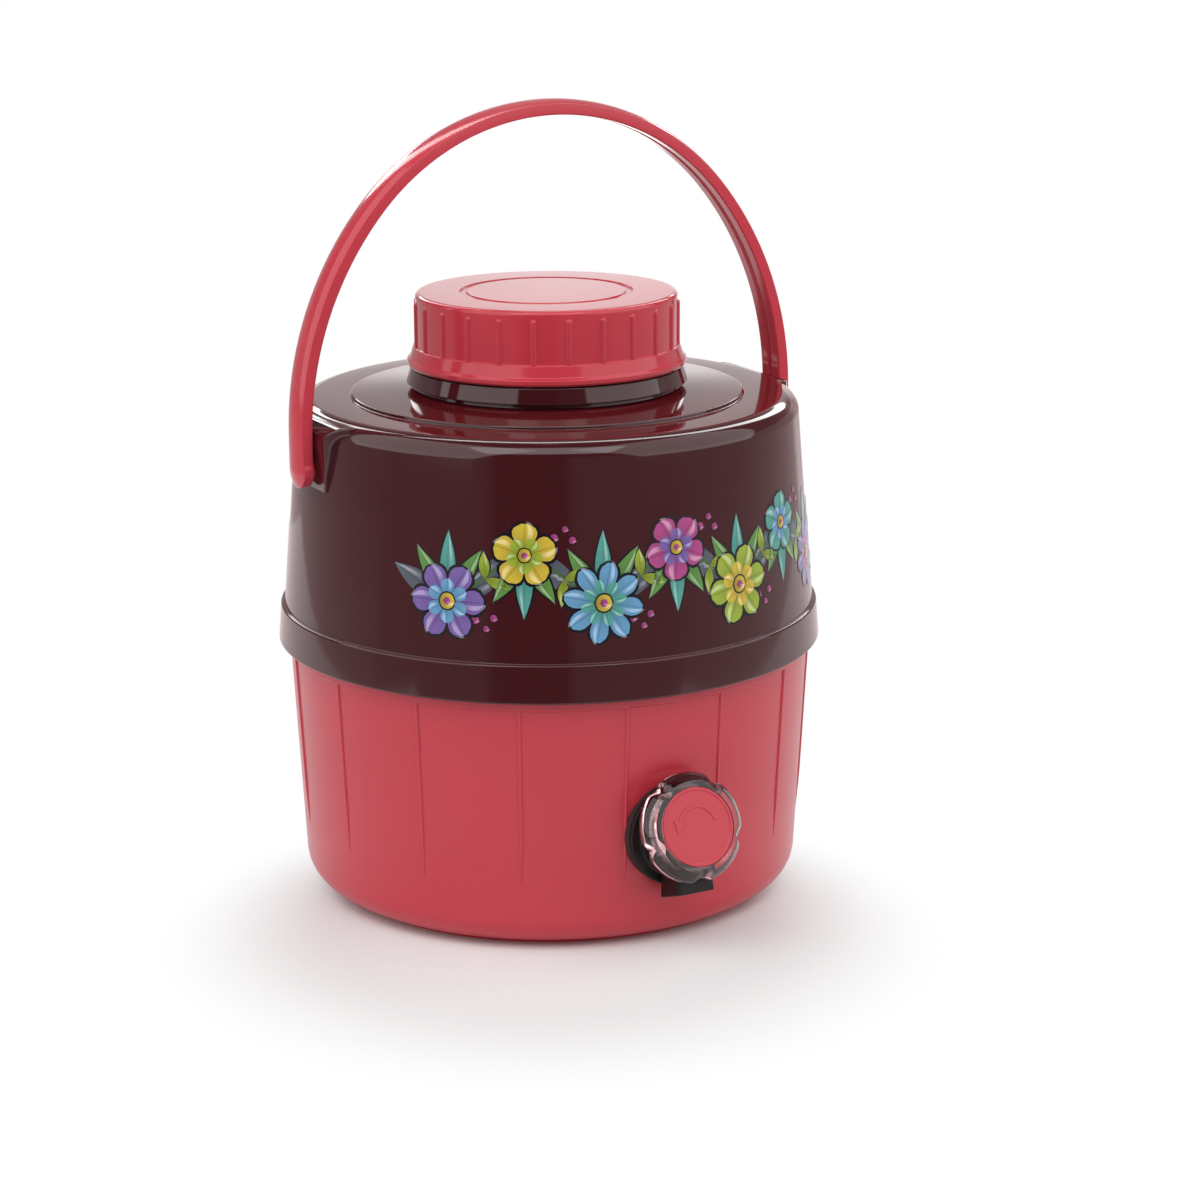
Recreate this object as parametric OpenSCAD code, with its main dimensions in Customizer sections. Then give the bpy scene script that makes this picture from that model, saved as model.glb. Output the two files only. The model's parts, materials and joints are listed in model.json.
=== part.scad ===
// Insulated water jug: two-part case round a foam-insulated vessel, a screw lid,
// a swinging bail handle and a quarter-turn tap low on the front.
// Millimetres. The origin is the centre of the foot plane, +Z is up,
// the tap faces -Y and the handle turns about a line along X.

/* [Case] */
// Outer radius of the lower case at the seam, without its ribs
case_r = 114; // [100:0.5:130]
// Height of the seam between the lower and the upper case
seam_z = 111; // [95:1:130]
// Wall thickness of both case halves
case_wall = 2.5; // [1.8:0.1:3.5]
// Outward lean of the lower case wall in degrees
lower_draft = 3; // [0:0.5:4]
// Radius of the rounded bottom corner
corner_r = 14; // [8:1:20]
// Distance of the foot ring inside the lower case wall, on the radius
foot_in = 12.3; // [11:0.1:20]
// Width of the foot ring
foot_w = 8; // [5:0.5:12]
// Height of the foot ring
foot_h = 2; // [1:0.5:4]
// Number of fine ribs round the lower case
rib_count = 16; // [8:1:24]
// Radius of one rib's bead
rib_r = 0.9; // [0.6:0.1:1.5]
// How far a rib stands out of the wall
rib_proud = 0.5; // [0.3:0.1:0.8]
// Height at which the ribs start
rib_start_z = 30; // [22:1:40]
// Plain rim between the ribs and the seam
rib_rim = 4; // [2:0.5:8]
// Radius of the foam filling hole in the base
fill_hole_r = 9; // [6:0.5:14]

/* [Upper case] */
// How far the upper case wall, carried down to the seam, stands out of the lower one
seam_step = 3.2; // [2.5:0.1:5]
// Inward lean of the upper case wall in degrees
upper_draft = 4.6; // [3:0.1:6]
// Height of the stepped-out band over the seam
band_h = 16.3; // [14:0.1:22]
// How far the band stands out of the upper wall
band_proud = 1.6; // [0.8:0.1:3]
// Length of the lower case's tongue inside the band
tongue_h = 12; // [6:0.5:13]
// Height of the deck
deck_z = 217.6; // [205:0.1:230]
// Radius of the rounded rim of the deck
rim_r = 8; // [5:0.5:10]
// Radius of the ring step on the deck
deck_step_r = 84.9; // [70:0.1:95]
// Height of the ring step
deck_step_h = 1.5; // [0.8:0.1:2.5]
// Slope of the raised part of the deck in degrees
deck_slope = 2.5; // [0:0.5:5]
// How far the collar's lower edge stands out of the case neck
collar_out = 3.8; // [2.5:0.1:6]
// How far the collar's upper edge stands out of the case neck
collar_top_out = 1.8; // [1.4:0.1:2.4]
// Height of the collar
collar_h = 7; // [4:0.5:8]

/* [Vessel] */
// Foam thickness at the vessel's floor and lower wall
foam_t = 13.5; // [8:0.5:20]
// Foam thickness above the vessel's shoulder
foam_top_t = 9; // [5:0.5:14]
// Wall thickness of the vessel
vessel_wall = 2.2; // [1.6:0.1:3]
// Radius of the vessel's rounded floor and shoulder edges
vessel_round = 18; // [10:1:24]
// Wall thickness of the vessel's neck
neck_wall = 3.2; // [2.5:0.1:4]

/* [Lid] */
// Radius of the lid wall between the grip ribs
lid_r = 56.5; // [56:0.1:58]
// Height of the lid
lid_h = 31; // [28:0.5:40]
// Wall thickness of the lid
lid_wall = 2; // [1.6:0.1:2.5]
// Gap between the collar and the lid
lid_gap = 0.65; // [0.4:0.05:1.5]
// How far the lid's lower flange stands out of the lid wall
lid_flange_out = 3.8; // [2.5:0.1:5]
// Height of the lid's lower flange
lid_flange_h = 8.3; // [5:0.1:10]
// Radius of the lid's rounded top edge
lid_edge_r = 2; // [1:0.25:3]
// Radius of the shallow recess in the lid's top
lid_recess_r = 37.3; // [25:0.1:48]
// Depth of the recess in the lid's top
lid_recess_h = 0.7; // [0.3:0.1:1]
// Number of grip ribs
grip_count = 24; // [12:1:36]
// Radius of one grip rib's bead
grip_r = 1.5; // [1:0.1:2]
// How far a grip rib stands out of the lid wall
grip_proud = 1; // [0.6:0.1:1.2]
// Turn of the grip ribs from the front in degrees
grip_turn = -3; // [-7:0.5:7]
// Distance of the grip ribs' tops below the lid's top
grip_drop = 3.3; // [2.5:0.1:8]
// Rise of the lid's two-start thread in one turn
thread_lead = 12; // [8:0.5:14]
// Height of a thread's crest over its root
thread_depth = 2; // [1.5:0.1:2.2]
// Gap between a thread's crest and the root of the other one
thread_gap = 1.3; // [1:0.1:1.6]
// Thickness of the lid's gasket
gasket_t = 2; // [1.5:0.1:3]
// Length of the lid's inner plug below the neck rim
plug_depth = 12; // [8:0.5:13]

/* [Handle] */
// Distance of the legs' centre lines out of the upper case wall at the pegs
leg_out = 6.4; // [6.2:0.1:12]
// Depth of the pivot pegs below the deck
pivot_drop = 22.1; // [19:0.1:28]
// How much smaller the arc over the grip is than half the distance between the legs
grip_in = 8.3; // [4:0.1:18]
// Height of the grip arc's centre above the straight part of the legs
arc_rise = 22; // [12:0.5:50]
// Length of the straight part of the legs above the pegs
leg_straight = 14; // [9:0.5:20]
// Width of the handle's band
handle_w = 15; // [11:0.5:15.8]
// Thickness of the handle's band
handle_t = 6.5; // [4.5:0.1:6.8]
// Crown radius of the band's outer face
handle_crown_r = 17; // [14:1:30]
// Width of the groove along the inner face
groove_w = 3.2; // [2:0.1:5]
// Depth of the groove along the inner face
groove_d = 1.4; // [0.5:0.1:2]
// Radius of the pivot eyes
eye_r = 8; // [7:0.1:10]
// Radius of the pivot pegs
peg_r = 5; // [3:0.1:6]
// Length of the pivot pegs
peg_l = 7; // [4:0.5:7.5]
// Half the width of the hinge bosses at their foot
boss_foot_w = 13; // [11:0.5:16]
// Half the width of the hinge bosses below their flared top
boss_half_w = 17; // [16:0.5:20]
// Radius of the hollow flare between the hinge bosses and the rim of the deck
boss_flare_r = 10; // [6:0.5:12]
// Radius of the rounded upper edge of the hinge bosses
boss_edge_r = 9; // [6:0.5:10]
// Inward lean of the hinge bosses' flat face towards its foot in degrees
boss_lean = 4; // [0:0.5:5]
// Half the width of the hinge bosses' flat face
boss_flat_w = 12; // [9:0.5:15]
// Radius in plan that carries the hinge bosses' face back to the round case
boss_plan_r = 43; // [38:0.5:60]

/* [Tap] */
// Height of the tap's shank
tap_z = 50.5; // [45:0.5:60]
// Upward tilt of the tap's barrel in degrees
tap_tilt = 20; // [10:1:25]
// Radius of the tap's flange
flange_r = 22.5; // [20:0.5:26]
// Thickness of the tap's flange
flange_t = 2.5; // [2:0.25:3.5]
// Radius of the second step of the flange
flange_step_r = 18.5; // [16:0.5:20]
// Thickness of the second step of the flange
flange_step_t = 1.5; // [1:0.25:2]
// Thickness of the washer under the flange at its middle
washer_t = 2; // [1.5:0.1:3]
// Radius of the tap's shank
shank_r = 9.5; // [9:0.1:11]
// Radius of the water bore in the shank
shank_bore_r = 5.5; // [4:0.1:6]
// Radius of the barrel
barrel_r = 12.8; // [12.4:0.1:13.5]
// Length of the barrel from the case wall along its axis
barrel_l = 16; // [15:0.5:18]
// Radius of the valve plug
plug_r = 6.45; // [6:0.05:6.8]
// Width of the spout
spout_w = 17; // [14:0.5:18]
// Depth of the spout along the barrel
spout_t = 17.2; // [14:0.2:17.4]
// Distance from the barrel's axis to the spout's outlet
spout_l = 27; // [25:0.5:32]
// Wall thickness of the spout
spout_wall = 2.4; // [1.8:0.1:3]
// Radius of the knob
knob_r = 23; // [21:0.1:24]
// Length of the knob along the barrel, less where the flange is in its way
knob_l = 9.4; // [8:0.1:10]
// Number of finger scallops in the knob
scallop_count = 5; // [3:1:8]
// Radius of one finger scallop
scallop_r = 8; // [6:0.5:12]
// Depth of one finger scallop
scallop_d = 1.8; // [0.8:0.1:2.5]
// Radius of the knob's insert disc
insert_r = 16.5; // [15:0.1:18]
// Thickness of the insert disc
insert_t = 1.5; // [1:0.1:2]
// Radius of the tap's inner nut, over its corners
nut_r = 16; // [14:0.5:18]
// Thickness of the tap's inner nut
nut_t = 7; // [5:0.5:9]

/* [Fits] */
// Gap between still pieces that nest in each other
nest_gap = 0.2; // [0.1:0.05:0.3]
// Running gap of a peg or plug in its bore, on the radius
run_gap = 0.05; // [0.03:0.01:0.09]
// Gap between pieces that pass each other
pass_gap = 0.3; // [0.25:0.05:0.5]

/* [Hidden] */
$fn = 96;
eps = 0.01;

// colours
PINK = "#c94f5f";
MAROON = "#4a2224";
WHITE = "#f0efe9";
BLACK = "#1e1b1a";
FOAM = "#e6d9a8";
CLEAR = "#dfe6ea";
RUBBER = "#3a3838";
STEEL = "#b8bcc0";

// radii of lid, neck and collar, each from the one inside or outside it
lid_in_r = lid_r - lid_wall;
lid_flange_r = lid_r + lid_flange_out;
neck_out_r = lid_in_r - thread_depth - thread_gap;
mouth_r = neck_out_r - neck_wall;
case_neck_in_r = lid_in_r;
neck_case_r = case_neck_in_r + case_wall;
collar_r = neck_case_r + collar_out;
collar_top_r = neck_case_r + collar_top_out;

// heights that follow from the driving sizes
tongue_z = seam_z + tongue_h;
pivot_z = deck_z - pivot_drop;
raised_z = deck_z + deck_step_h;
neck_foot_z = raised_z + (deck_step_r - neck_case_r) * tan(deck_slope);
neck_rise = 2.6;
collar_z = neck_foot_z + neck_rise;
collar_top_z = collar_z + collar_h;
lid_z = collar_top_z + lid_gap;
lid_top_z = lid_z + lid_h;
lid_plate = lid_wall + lid_recess_h;
stop_h = 3.5;
stop_w = 3;
liner_t = 2;
cup_gap = 1.5;
liner_flange_z = lid_top_z - lid_plate - stop_h - liner_t;
gasket_z = liner_flange_z - gasket_t;
neck_top_z = gasket_z - nest_gap;
vessel_z = foot_h + case_wall + foam_t;
shoulder_z = deck_z - case_wall - foam_top_t;

// radii of the case and the vessel that follow from the driving sizes
upper_r = case_r + seam_step;
function lower_wall_r(z) = case_r - (seam_z - z) * tan(lower_draft);
function upper_wall_r(z) = upper_r - (z - seam_z) * tan(upper_draft);
foot_r = lower_wall_r(foot_h) - foot_in;
tongue_r = lower_wall_r(tongue_z);
vessel_r = lower_wall_r(vessel_z + vessel_round) - case_wall - foam_t;

// two-start thread of neck and lid
thread_z = lid_z + 4.5;
thread_root_w = 2.8;
thread_crest_w = 1.2;
thread_sink = 0.4;
thread_steps = 36;
thread_rim = 4.1;
neck_turns = (neck_top_z - thread_z - thread_rim) / thread_lead;
lid_turns = neck_turns - 0.25;

// handle arcs: a side arc on each leg runs tangent into the arc over the grip
handle_half = upper_wall_r(pivot_z) + leg_out;
grip_arc_r = handle_half - grip_in;
eye_top_z = pivot_z + leg_straight;
arc_z = eye_top_z + arc_rise;
side_arc_r = (pow(handle_half, 2) + pow(arc_rise, 2) - pow(grip_arc_r, 2)) / (2 * grip_in);
side_arc_x = handle_half - side_arc_r;
side_arc_a = atan2(arc_rise, -side_arc_x);
handle_edge = 0.5;
side_steps = 12;
top_steps = 28;

// hinge bosses: their face stays clear of the curved legs as far out as the boss reaches
boss_top_z = deck_z - 1;
boss_low_z = pivot_z - eye_r - 0.5;
boss_flare_z = boss_top_z - 3.5 - boss_flare_r;
boss_reach = norm([boss_half_w + boss_flare_r / 2, boss_top_z - boss_edge_r - pivot_z]);
leg_sag = side_arc_r - sqrt(pow(side_arc_r, 2) - pow(boss_reach - leg_straight, 2));
boss_x = handle_half - handle_t / 2 - leg_sag - pass_gap;
socket_end_x = handle_half - handle_t / 2 - peg_l - 0.5;
socket_in_x = socket_end_x - case_wall;
socket_r = peg_r + 2.5;

// tap frame: distances along the barrel start at the case wall on the shank's axis
tap_y = lower_wall_r(tap_z);
flange_y = tap_y + washer_t;
flange_top_at = (washer_t + flange_t) * cos(tap_tilt) + flange_r * sin(tap_tilt);
step_top_at = (washer_t + flange_t + flange_step_t) * cos(tap_tilt) + flange_step_r * sin(tap_tilt);
plug_back = 1;
port_at = 6.3;
port_r = 2.2;
seal_r = 0.85;
groove_half = 0.95;
groove_r = plug_r - 2 * seal_r - 0.1;
plug_bore_r = groove_r - 0.8;
seat_at = 12;
seat_gap = 0.1;
shoulder_r = 9.6;
shoulder_t = 1.2;
gland_r = 10.6;
stem_r = 4.5;
drive_w = 6;
hub_at = barrel_l + 0.5;
hub_t = 2.2;
screw_head_r = 3;
screw_head_t = 1.5;
screw_r = 1.5;
screw_at = seat_at - 1;
knob_front = hub_at + hub_t + screw_head_t + 0.3 + insert_t;
knob_back = max(knob_front - knob_l, max(flange_top_at, step_top_at) + 2 * pass_gap);
spout_front = min(knob_back - 0.9, seat_at - 0.5);
spout_back = spout_front - spout_t;
pad_r = 18;
case_pad_t = 5;
vessel_pad_y = vessel_r + 2;
vessel_pad_in_y = vessel_r - vessel_wall - 4;
sleeve_r = 14;
inner_washer_t = 2;
nut_y = vessel_pad_in_y - inner_washer_t;

// 2D half outlines, from the axis outwards

// Inside of the lower case wall line moved in by inset
module lower_outline(inset, top_z) {
  base_z = foot_h + inset;
  round_r = corner_r - inset;
  centre_z = base_z + round_r;
  centre_r = lower_wall_r(centre_z) - corner_r / cos(lower_draft);
  polygon([
    [0, base_z],
    [centre_r, base_z],
    [centre_r + round_r * cos(lower_draft), centre_z - round_r * sin(lower_draft)],
    [lower_wall_r(top_z) - inset / cos(lower_draft), top_z],
    [0, top_z]
  ]);
  translate([centre_r, centre_z]) circle(round_r);
}

// Inside of the upper case wall line and deck moved in by inset
module upper_outline(inset, low_z) {
  top_z = deck_z - inset;
  round_r = rim_r - inset;
  centre_z = top_z - round_r;
  centre_r = upper_wall_r(centre_z) - rim_r / cos(upper_draft);
  polygon([
    [0, low_z],
    [upper_wall_r(low_z) - inset / cos(upper_draft), low_z],
    [centre_r + round_r * cos(upper_draft), centre_z + round_r * sin(upper_draft)],
    [centre_r, top_z],
    [0, top_z]
  ]);
  translate([centre_r, centre_z]) circle(round_r);
}

// Vessel outline grown by outset, without its neck
module vessel_outline(outset) {
  round_r = vessel_round + outset;
  low_z = vessel_z - outset;
  high_z = shoulder_z + outset;
  edge_r = vessel_r + outset;
  translate([0, low_z]) square([edge_r - round_r, high_z - low_z]);
  translate([0, low_z + round_r]) square([edge_r, high_z - low_z - 2 * round_r]);
  translate([edge_r - round_r, low_z + round_r]) circle(round_r);
  translate([edge_r - round_r, high_z - round_r]) circle(round_r);
}

// Ring outline between two radii and two heights
module ring_outline(in_r, out_r, low_z, high_z) {
  translate([in_r, low_z]) square([out_r - in_r, high_z - low_z]);
}

// Cylinder along -Y from near_y to far_y, both counted outwards, at the shank's height
module shank_rod(r, near_y, far_y) {
  translate([0, -near_y, tap_z]) rotate([90, 0, 0]) cylinder(r = r, h = far_y - near_y);
}

// Places children in the tap's frame: z along the barrel, y up across it
module tap_frame() {
  translate([0, -tap_y, tap_z]) rotate([90 - tap_tilt, 0, 0]) children();
}

// Cylinder along the barrel between two distances from the case wall
module barrel_rod(r, from, to) {
  translate([0, 0, from]) cylinder(r = r, h = to - from);
}

// Triangles of a tube through rings of n points, closed at both ends
function tube_faces(rings, n) = concat(
  [
    for (i = [0:rings - 2], k = [0:n - 1])
      let (a = n * i + k, b = n * i + (k + 1) % n)
        each [[a, b, b + n], [a, b + n, a + n]]
  ],
  [[for (k = [n - 1:-1:0]) k]],
  [[for (k = [0:n - 1]) n * (rings - 1) + k]]
);

// One helical thread with a trapezoid section between root_r and crest_r
module thread(root_r, crest_r, turns, start_z, start_a) {
  steps = ceil(thread_steps * turns);
  half_root = thread_root_w / 2;
  half_crest = thread_crest_w / 2;
  outward = [[root_r, -half_root], [crest_r, -half_crest], [crest_r, half_crest], [root_r, half_root]];
  section = crest_r > root_r ? outward : [for (k = [3:-1:0]) outward[k]];
  points = [
    for (i = [0:steps], p = section)
      let (a = start_a + 360 * turns * i / steps, z = start_z + thread_lead * turns * i / steps)
        [p[0] * cos(a), p[0] * sin(a), z + p[1]]
  ];
  polyhedron(points, tube_faces(steps + 1, len(section)));
}

// Fine ribs of the lower case, grown by grow
module case_ribs(grow) {
  rib_len = (seam_z - rib_rim - rib_start_z) / cos(lower_draft);
  for (i = [0:rib_count - 1])
    rotate([0, 0, 360 * (i + 0.5) / rib_count - 90])
      translate([lower_wall_r(rib_start_z) + rib_proud - rib_r, 0, rib_start_z])
        rotate([0, lower_draft, 0]) cylinder(r = rib_r + grow, h = rib_len, $fn = 24);
}

// Lower case
module lower_shell() {
  color(PINK)
    difference() {
      union() {
        difference() {
          rotate_extrude() lower_outline(0, tongue_z);
          rotate_extrude() lower_outline(case_wall, tongue_z + 1);
        }
        rotate_extrude() ring_outline(foot_r - foot_w, foot_r, 0, foot_h + case_wall / 2);
        case_ribs(0);
        intersection() {
          rotate_extrude() lower_outline(case_wall / 2, tongue_z);
          shank_rod(pad_r, tap_y - case_wall - case_pad_t, tap_y + 1);
        }
      }
      shank_rod(shank_r + nest_gap, vessel_r, tap_y + 5);
      translate([0, 0, -1]) cylinder(r = fill_hole_r + nest_gap, h = foot_h + case_wall + 2);
    }
}

// Upper case
module upper_shell() {
  band_in_r = tongue_r + nest_gap;
  band_top_z = seam_z + band_h;
  collar_lip = 1.3;
  undercut_z = collar_z + collar_h * 0.8;
  color(MAROON)
    difference() {
      union() {
        rotate_extrude() {
          difference() {
            union() {
              upper_outline(0, tongue_z);
              polygon([
                [band_in_r, seam_z],
                [upper_wall_r(seam_z) + band_proud, seam_z],
                [upper_wall_r(band_top_z) + band_proud, band_top_z],
                [band_in_r, band_top_z]
              ]);
              polygon([
                [0, deck_z - eps],
                [deck_step_r, deck_z - eps],
                [deck_step_r, raised_z],
                [neck_case_r, neck_foot_z],
                [neck_case_r, undercut_z],
                [collar_r - collar_lip, collar_z],
                [collar_r, collar_z],
                [collar_top_r, collar_top_z],
                [0, collar_top_z]
              ]);
            }
            upper_outline(case_wall, tongue_z);
            translate([0, tongue_z - 1]) square([case_neck_in_r, collar_top_z]);
          }
        }
        hinge_bosses();
      }
      for (side = [0, 180])
        rotate([0, 0, side]) socket_rod(peg_r + run_gap, socket_end_x, boss_x + 1);
    }
}

// Cylinder along X on the handle's pivot line
module socket_rod(r, near_x, far_x) {
  translate([near_x, 0, pivot_z]) rotate([0, 90, 0]) cylinder(r = r, h = far_x - near_x);
}

// Side outline of a hinge boss as [x, z]: a leaning flat face with a rounded upper edge
module boss_side_outline() {
  edge_x = boss_x - boss_edge_r;
  edge_z = boss_top_z - boss_edge_r;
  face_x = edge_x + boss_edge_r * cos(boss_lean);
  face_z = edge_z - boss_edge_r * sin(boss_lean);
  foot_x = face_x - (face_z - boss_low_z) * tan(boss_lean);
  back_x = edge_x - boss_edge_r - 1;
  polygon([[back_x, boss_low_z], [foot_x, boss_low_z], [face_x, face_z], [edge_x, boss_top_z], [back_x, boss_top_z]]);
  translate([edge_x, edge_z]) circle(boss_edge_r);
}

// Front outline of a hinge boss as [y, z]: widening upwards, with a hollow flare under the deck's rim
module boss_front_outline() {
  top_half_w = boss_half_w + boss_flare_r;
  difference() {
    polygon([
      [-boss_foot_w, boss_low_z],
      [boss_foot_w, boss_low_z],
      [boss_half_w, boss_flare_z],
      [top_half_w, boss_flare_z],
      [top_half_w, boss_top_z + 1],
      [-top_half_w, boss_top_z + 1],
      [-top_half_w, boss_flare_z],
      [-boss_half_w, boss_flare_z]
    ]);
    for (side = [-1, 1])
      translate([side * top_half_w, boss_flare_z]) circle(boss_flare_r);
  }
}

// Flat-faced bosses with sockets for the handle's pegs, one on each side of the upper case
module hinge_bosses() {
  depth = boss_reach;
  plan_x = boss_x - sqrt(pow(boss_plan_r, 2) - pow(boss_flat_w, 2));
  for (side = [0, 180])
    rotate([0, 0, side]) {
      difference() {
        intersection() {
          translate([0, depth, 0]) rotate([90, 0, 0]) linear_extrude(2 * depth) boss_side_outline();
          translate([boss_x - depth, 0, 0]) rotate([90, 0, 90]) linear_extrude(2 * depth) boss_front_outline();
          translate([plan_x, 0, 0]) cylinder(r = boss_plan_r, h = deck_z);
        }
        rotate_extrude() upper_outline(case_wall, tongue_z);
      }
      socket_rod(socket_r, socket_in_x, boss_x - 2);
    }
}

// Vessel
module inner_vessel() {
  color(WHITE)
    union() {
      difference() {
        union() {
          rotate_extrude() {
            vessel_outline(0);
            ring_outline(0, neck_out_r, shoulder_z - 1, neck_top_z);
          }
          intersection() {
            shank_rod(pad_r, vessel_r - 12, vessel_pad_y);
            translate([0, 0, vessel_z]) cylinder(r = case_r, h = shoulder_z);
          }
        }
        difference() {
          rotate_extrude() {
            vessel_outline(-vessel_wall);
            ring_outline(0, mouth_r, shoulder_z - vessel_wall - 1, neck_top_z + 1);
          }
          shank_rod(pad_r, vessel_pad_in_y, vessel_pad_y + 1);
        }
        shank_rod(shank_r + nest_gap, vessel_pad_in_y - 5, vessel_pad_y + 1);
      }
      for (start = [0, 180])
        thread(neck_out_r - thread_sink, neck_out_r + thread_depth, neck_turns, thread_z, start);
    }
}

// Insulating foam between case and vessel
module foam_core() {
  inset = case_wall + nest_gap;
  color(FOAM)
    difference() {
      rotate_extrude()
        difference() {
          union() {
            lower_outline(inset, tongue_z + nest_gap);
            upper_outline(inset, tongue_z + nest_gap);
          }
          vessel_outline(nest_gap);
          ring_outline(0, case_neck_in_r, shoulder_z, collar_top_z);
        }
      shank_rod(pad_r + nest_gap, vessel_r - 12, tap_y);
      translate([0, 0, foot_h]) cylinder(r = fill_hole_r + nest_gap, h = case_wall + 3);
      for (side = [0, 180])
        rotate([0, 0, side]) socket_rod(socket_r + nest_gap, socket_in_x - nest_gap, boss_x);
    }
}

// Plug of the foam filling hole
module base_plug() {
  plug_h = case_wall + 2;
  color(PINK)
    difference() {
      union() {
        translate([0, 0, foot_h]) cylinder(r = fill_hole_r, h = plug_h);
        translate([0, 0, foot_h - 1]) cylinder(r = fill_hole_r + 2, h = 1);
      }
      translate([0, 0, foot_h + 1]) cylinder(r = fill_hole_r - 2, h = plug_h);
    }
}

// Ring that closes the foam space at the neck
module neck_seal() {
  color(RUBBER)
    rotate_extrude()
      ring_outline(neck_out_r + nest_gap, case_neck_in_r - nest_gap, shoulder_z + nest_gap, collar_top_z - 1);
}

// Section of the handle's band as [outward, across]: crowned outside, grooved inside
function handle_section() = let (in_u = -handle_t / 2, half_w = handle_w / 2, half_g = groove_w / 2) concat(
  [
    for (k = [-4:4])
      let (v = half_w * k / 4)
        [handle_t / 2 - handle_crown_r + sqrt(pow(handle_crown_r, 2) - pow(v, 2)), v]
  ],
  [
    [in_u + handle_edge, half_w],
    [in_u, half_w - handle_edge],
    [in_u, half_g],
    [in_u + groove_d, half_g - handle_edge],
    [in_u + groove_d, handle_edge - half_g],
    [in_u, -half_g],
    [in_u, handle_edge - half_w],
    [in_u + handle_edge, -half_w]
  ]
);

// Centre line of the handle as [x, z, outward direction], from the right peg over to the left one
function handle_leg() = concat(
  [[handle_half, pivot_z, 0]],
  [
    for (i = [0:side_steps])
      let (a = side_arc_a * i / side_steps)
        [side_arc_x + side_arc_r * cos(a), eye_top_z + side_arc_r * sin(a), a]
  ]
);
function handle_top() = [
  for (i = [1:top_steps - 1])
    let (a = side_arc_a + (180 - 2 * side_arc_a) * i / top_steps)
      [grip_arc_r * cos(a), arc_z + grip_arc_r * sin(a), a]
];
function handle_path() = let (leg = handle_leg(), last = len(leg) - 1) concat(
  leg,
  handle_top(),
  [for (i = [last:-1:0]) [-leg[i][0], leg[i][1], 180 - leg[i][2]]]
);

// Bail handle with its pivot pegs
module handle() {
  path = handle_path();
  section = handle_section();
  points = [
    for (c = path, p = section)
      [c[0] + p[0] * cos(c[2]), -p[1], c[1] + p[0] * sin(c[2])]
  ];
  color(PINK)
    union() {
      polyhedron(points, tube_faces(len(path), len(section)));
      for (side = [0, 180])
        rotate([0, 0, side]) handle_eye();
    }
}

// Round end of one leg with the peg that turns in the boss
module handle_eye() {
  crown = handle_crown_r - sqrt(pow(handle_crown_r, 2) - pow(handle_w / 2, 2));
  translate([handle_half - handle_t / 2, 0, pivot_z]) rotate([0, 90, 0]) {
    cylinder(r = eye_r, h = handle_t - crown);
    translate([0, 0, handle_t - crown]) cylinder(r1 = eye_r, r2 = eye_r - 2 * crown, h = crown);
    translate([0, 0, -peg_l]) cylinder(r = peg_r, h = peg_l + 1);
  }
}

// Screw lid
module lid_cap() {
  grip_low_z = lid_z + lid_flange_h - 0.5;
  grip_len = lid_top_z - grip_drop - grip_r - grip_low_z;
  color(PINK)
    union() {
      rotate_extrude()
        difference() {
          union() {
            ring_outline(0, lid_r, lid_z, lid_top_z - lid_edge_r);
            ring_outline(0, lid_r - lid_edge_r, lid_z, lid_top_z);
            translate([lid_r - lid_edge_r, lid_top_z - lid_edge_r]) circle(lid_edge_r);
            polygon([
              [lid_in_r, lid_z],
              [lid_flange_r - 0.6, lid_z],
              [lid_flange_r, lid_z + 0.8],
              [lid_flange_r, lid_z + 2.4],
              [lid_flange_r - 1.2, lid_z + 3.6],
              [lid_r + grip_proud, lid_z + lid_flange_h],
              [lid_in_r, lid_z + lid_flange_h]
            ]);
          }
          ring_outline(0, lid_in_r, lid_z - 1, liner_flange_z + liner_t);
          ring_outline(0, lid_in_r - stop_w, lid_z - 1, lid_top_z - lid_plate);
          ring_outline(0, lid_recess_r, lid_top_z - lid_recess_h, lid_top_z + 1);
        }
      for (i = [0:grip_count - 1])
        rotate([0, 0, 360 * i / grip_count - 90 + grip_turn])
          translate([lid_r + grip_proud - grip_r, 0, grip_low_z]) {
            cylinder(r = grip_r, h = grip_len, $fn = 24);
            translate([0, 0, grip_len]) sphere(grip_r, $fn = 24);
          }
      for (start = [0, 180])
        thread(lid_in_r + thread_sink, lid_in_r - thread_depth, lid_turns, thread_z + thread_lead / 4, start);
    }
}

// Inner cup of the lid
module lid_liner() {
  cup_r = mouth_r - cup_gap;
  cup_low_z = neck_top_z - plug_depth;
  color(WHITE)
    rotate_extrude() {
      ring_outline(cup_r - liner_t, lid_in_r - nest_gap, liner_flange_z, liner_flange_z + liner_t);
      ring_outline(cup_r - liner_t, cup_r, cup_low_z, liner_flange_z + liner_t);
      ring_outline(0, cup_r, cup_low_z, cup_low_z + liner_t);
    }
}

// Foam in the lid
module lid_foam() {
  cup_in_r = mouth_r - cup_gap - liner_t - nest_gap;
  low_z = neck_top_z - plug_depth + liner_t;
  high_z = lid_top_z - lid_plate;
  color(FOAM)
    rotate_extrude() {
      ring_outline(0, cup_in_r, low_z, high_z);
      ring_outline(0, lid_in_r - stop_w - nest_gap, liner_flange_z + liner_t, high_z);
    }
}

// Flat gasket between the neck's rim and the lid
module lid_gasket() {
  color(RUBBER)
    rotate_extrude() ring_outline(mouth_r, lid_in_r - 1, gasket_z, liner_flange_z);
}

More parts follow.
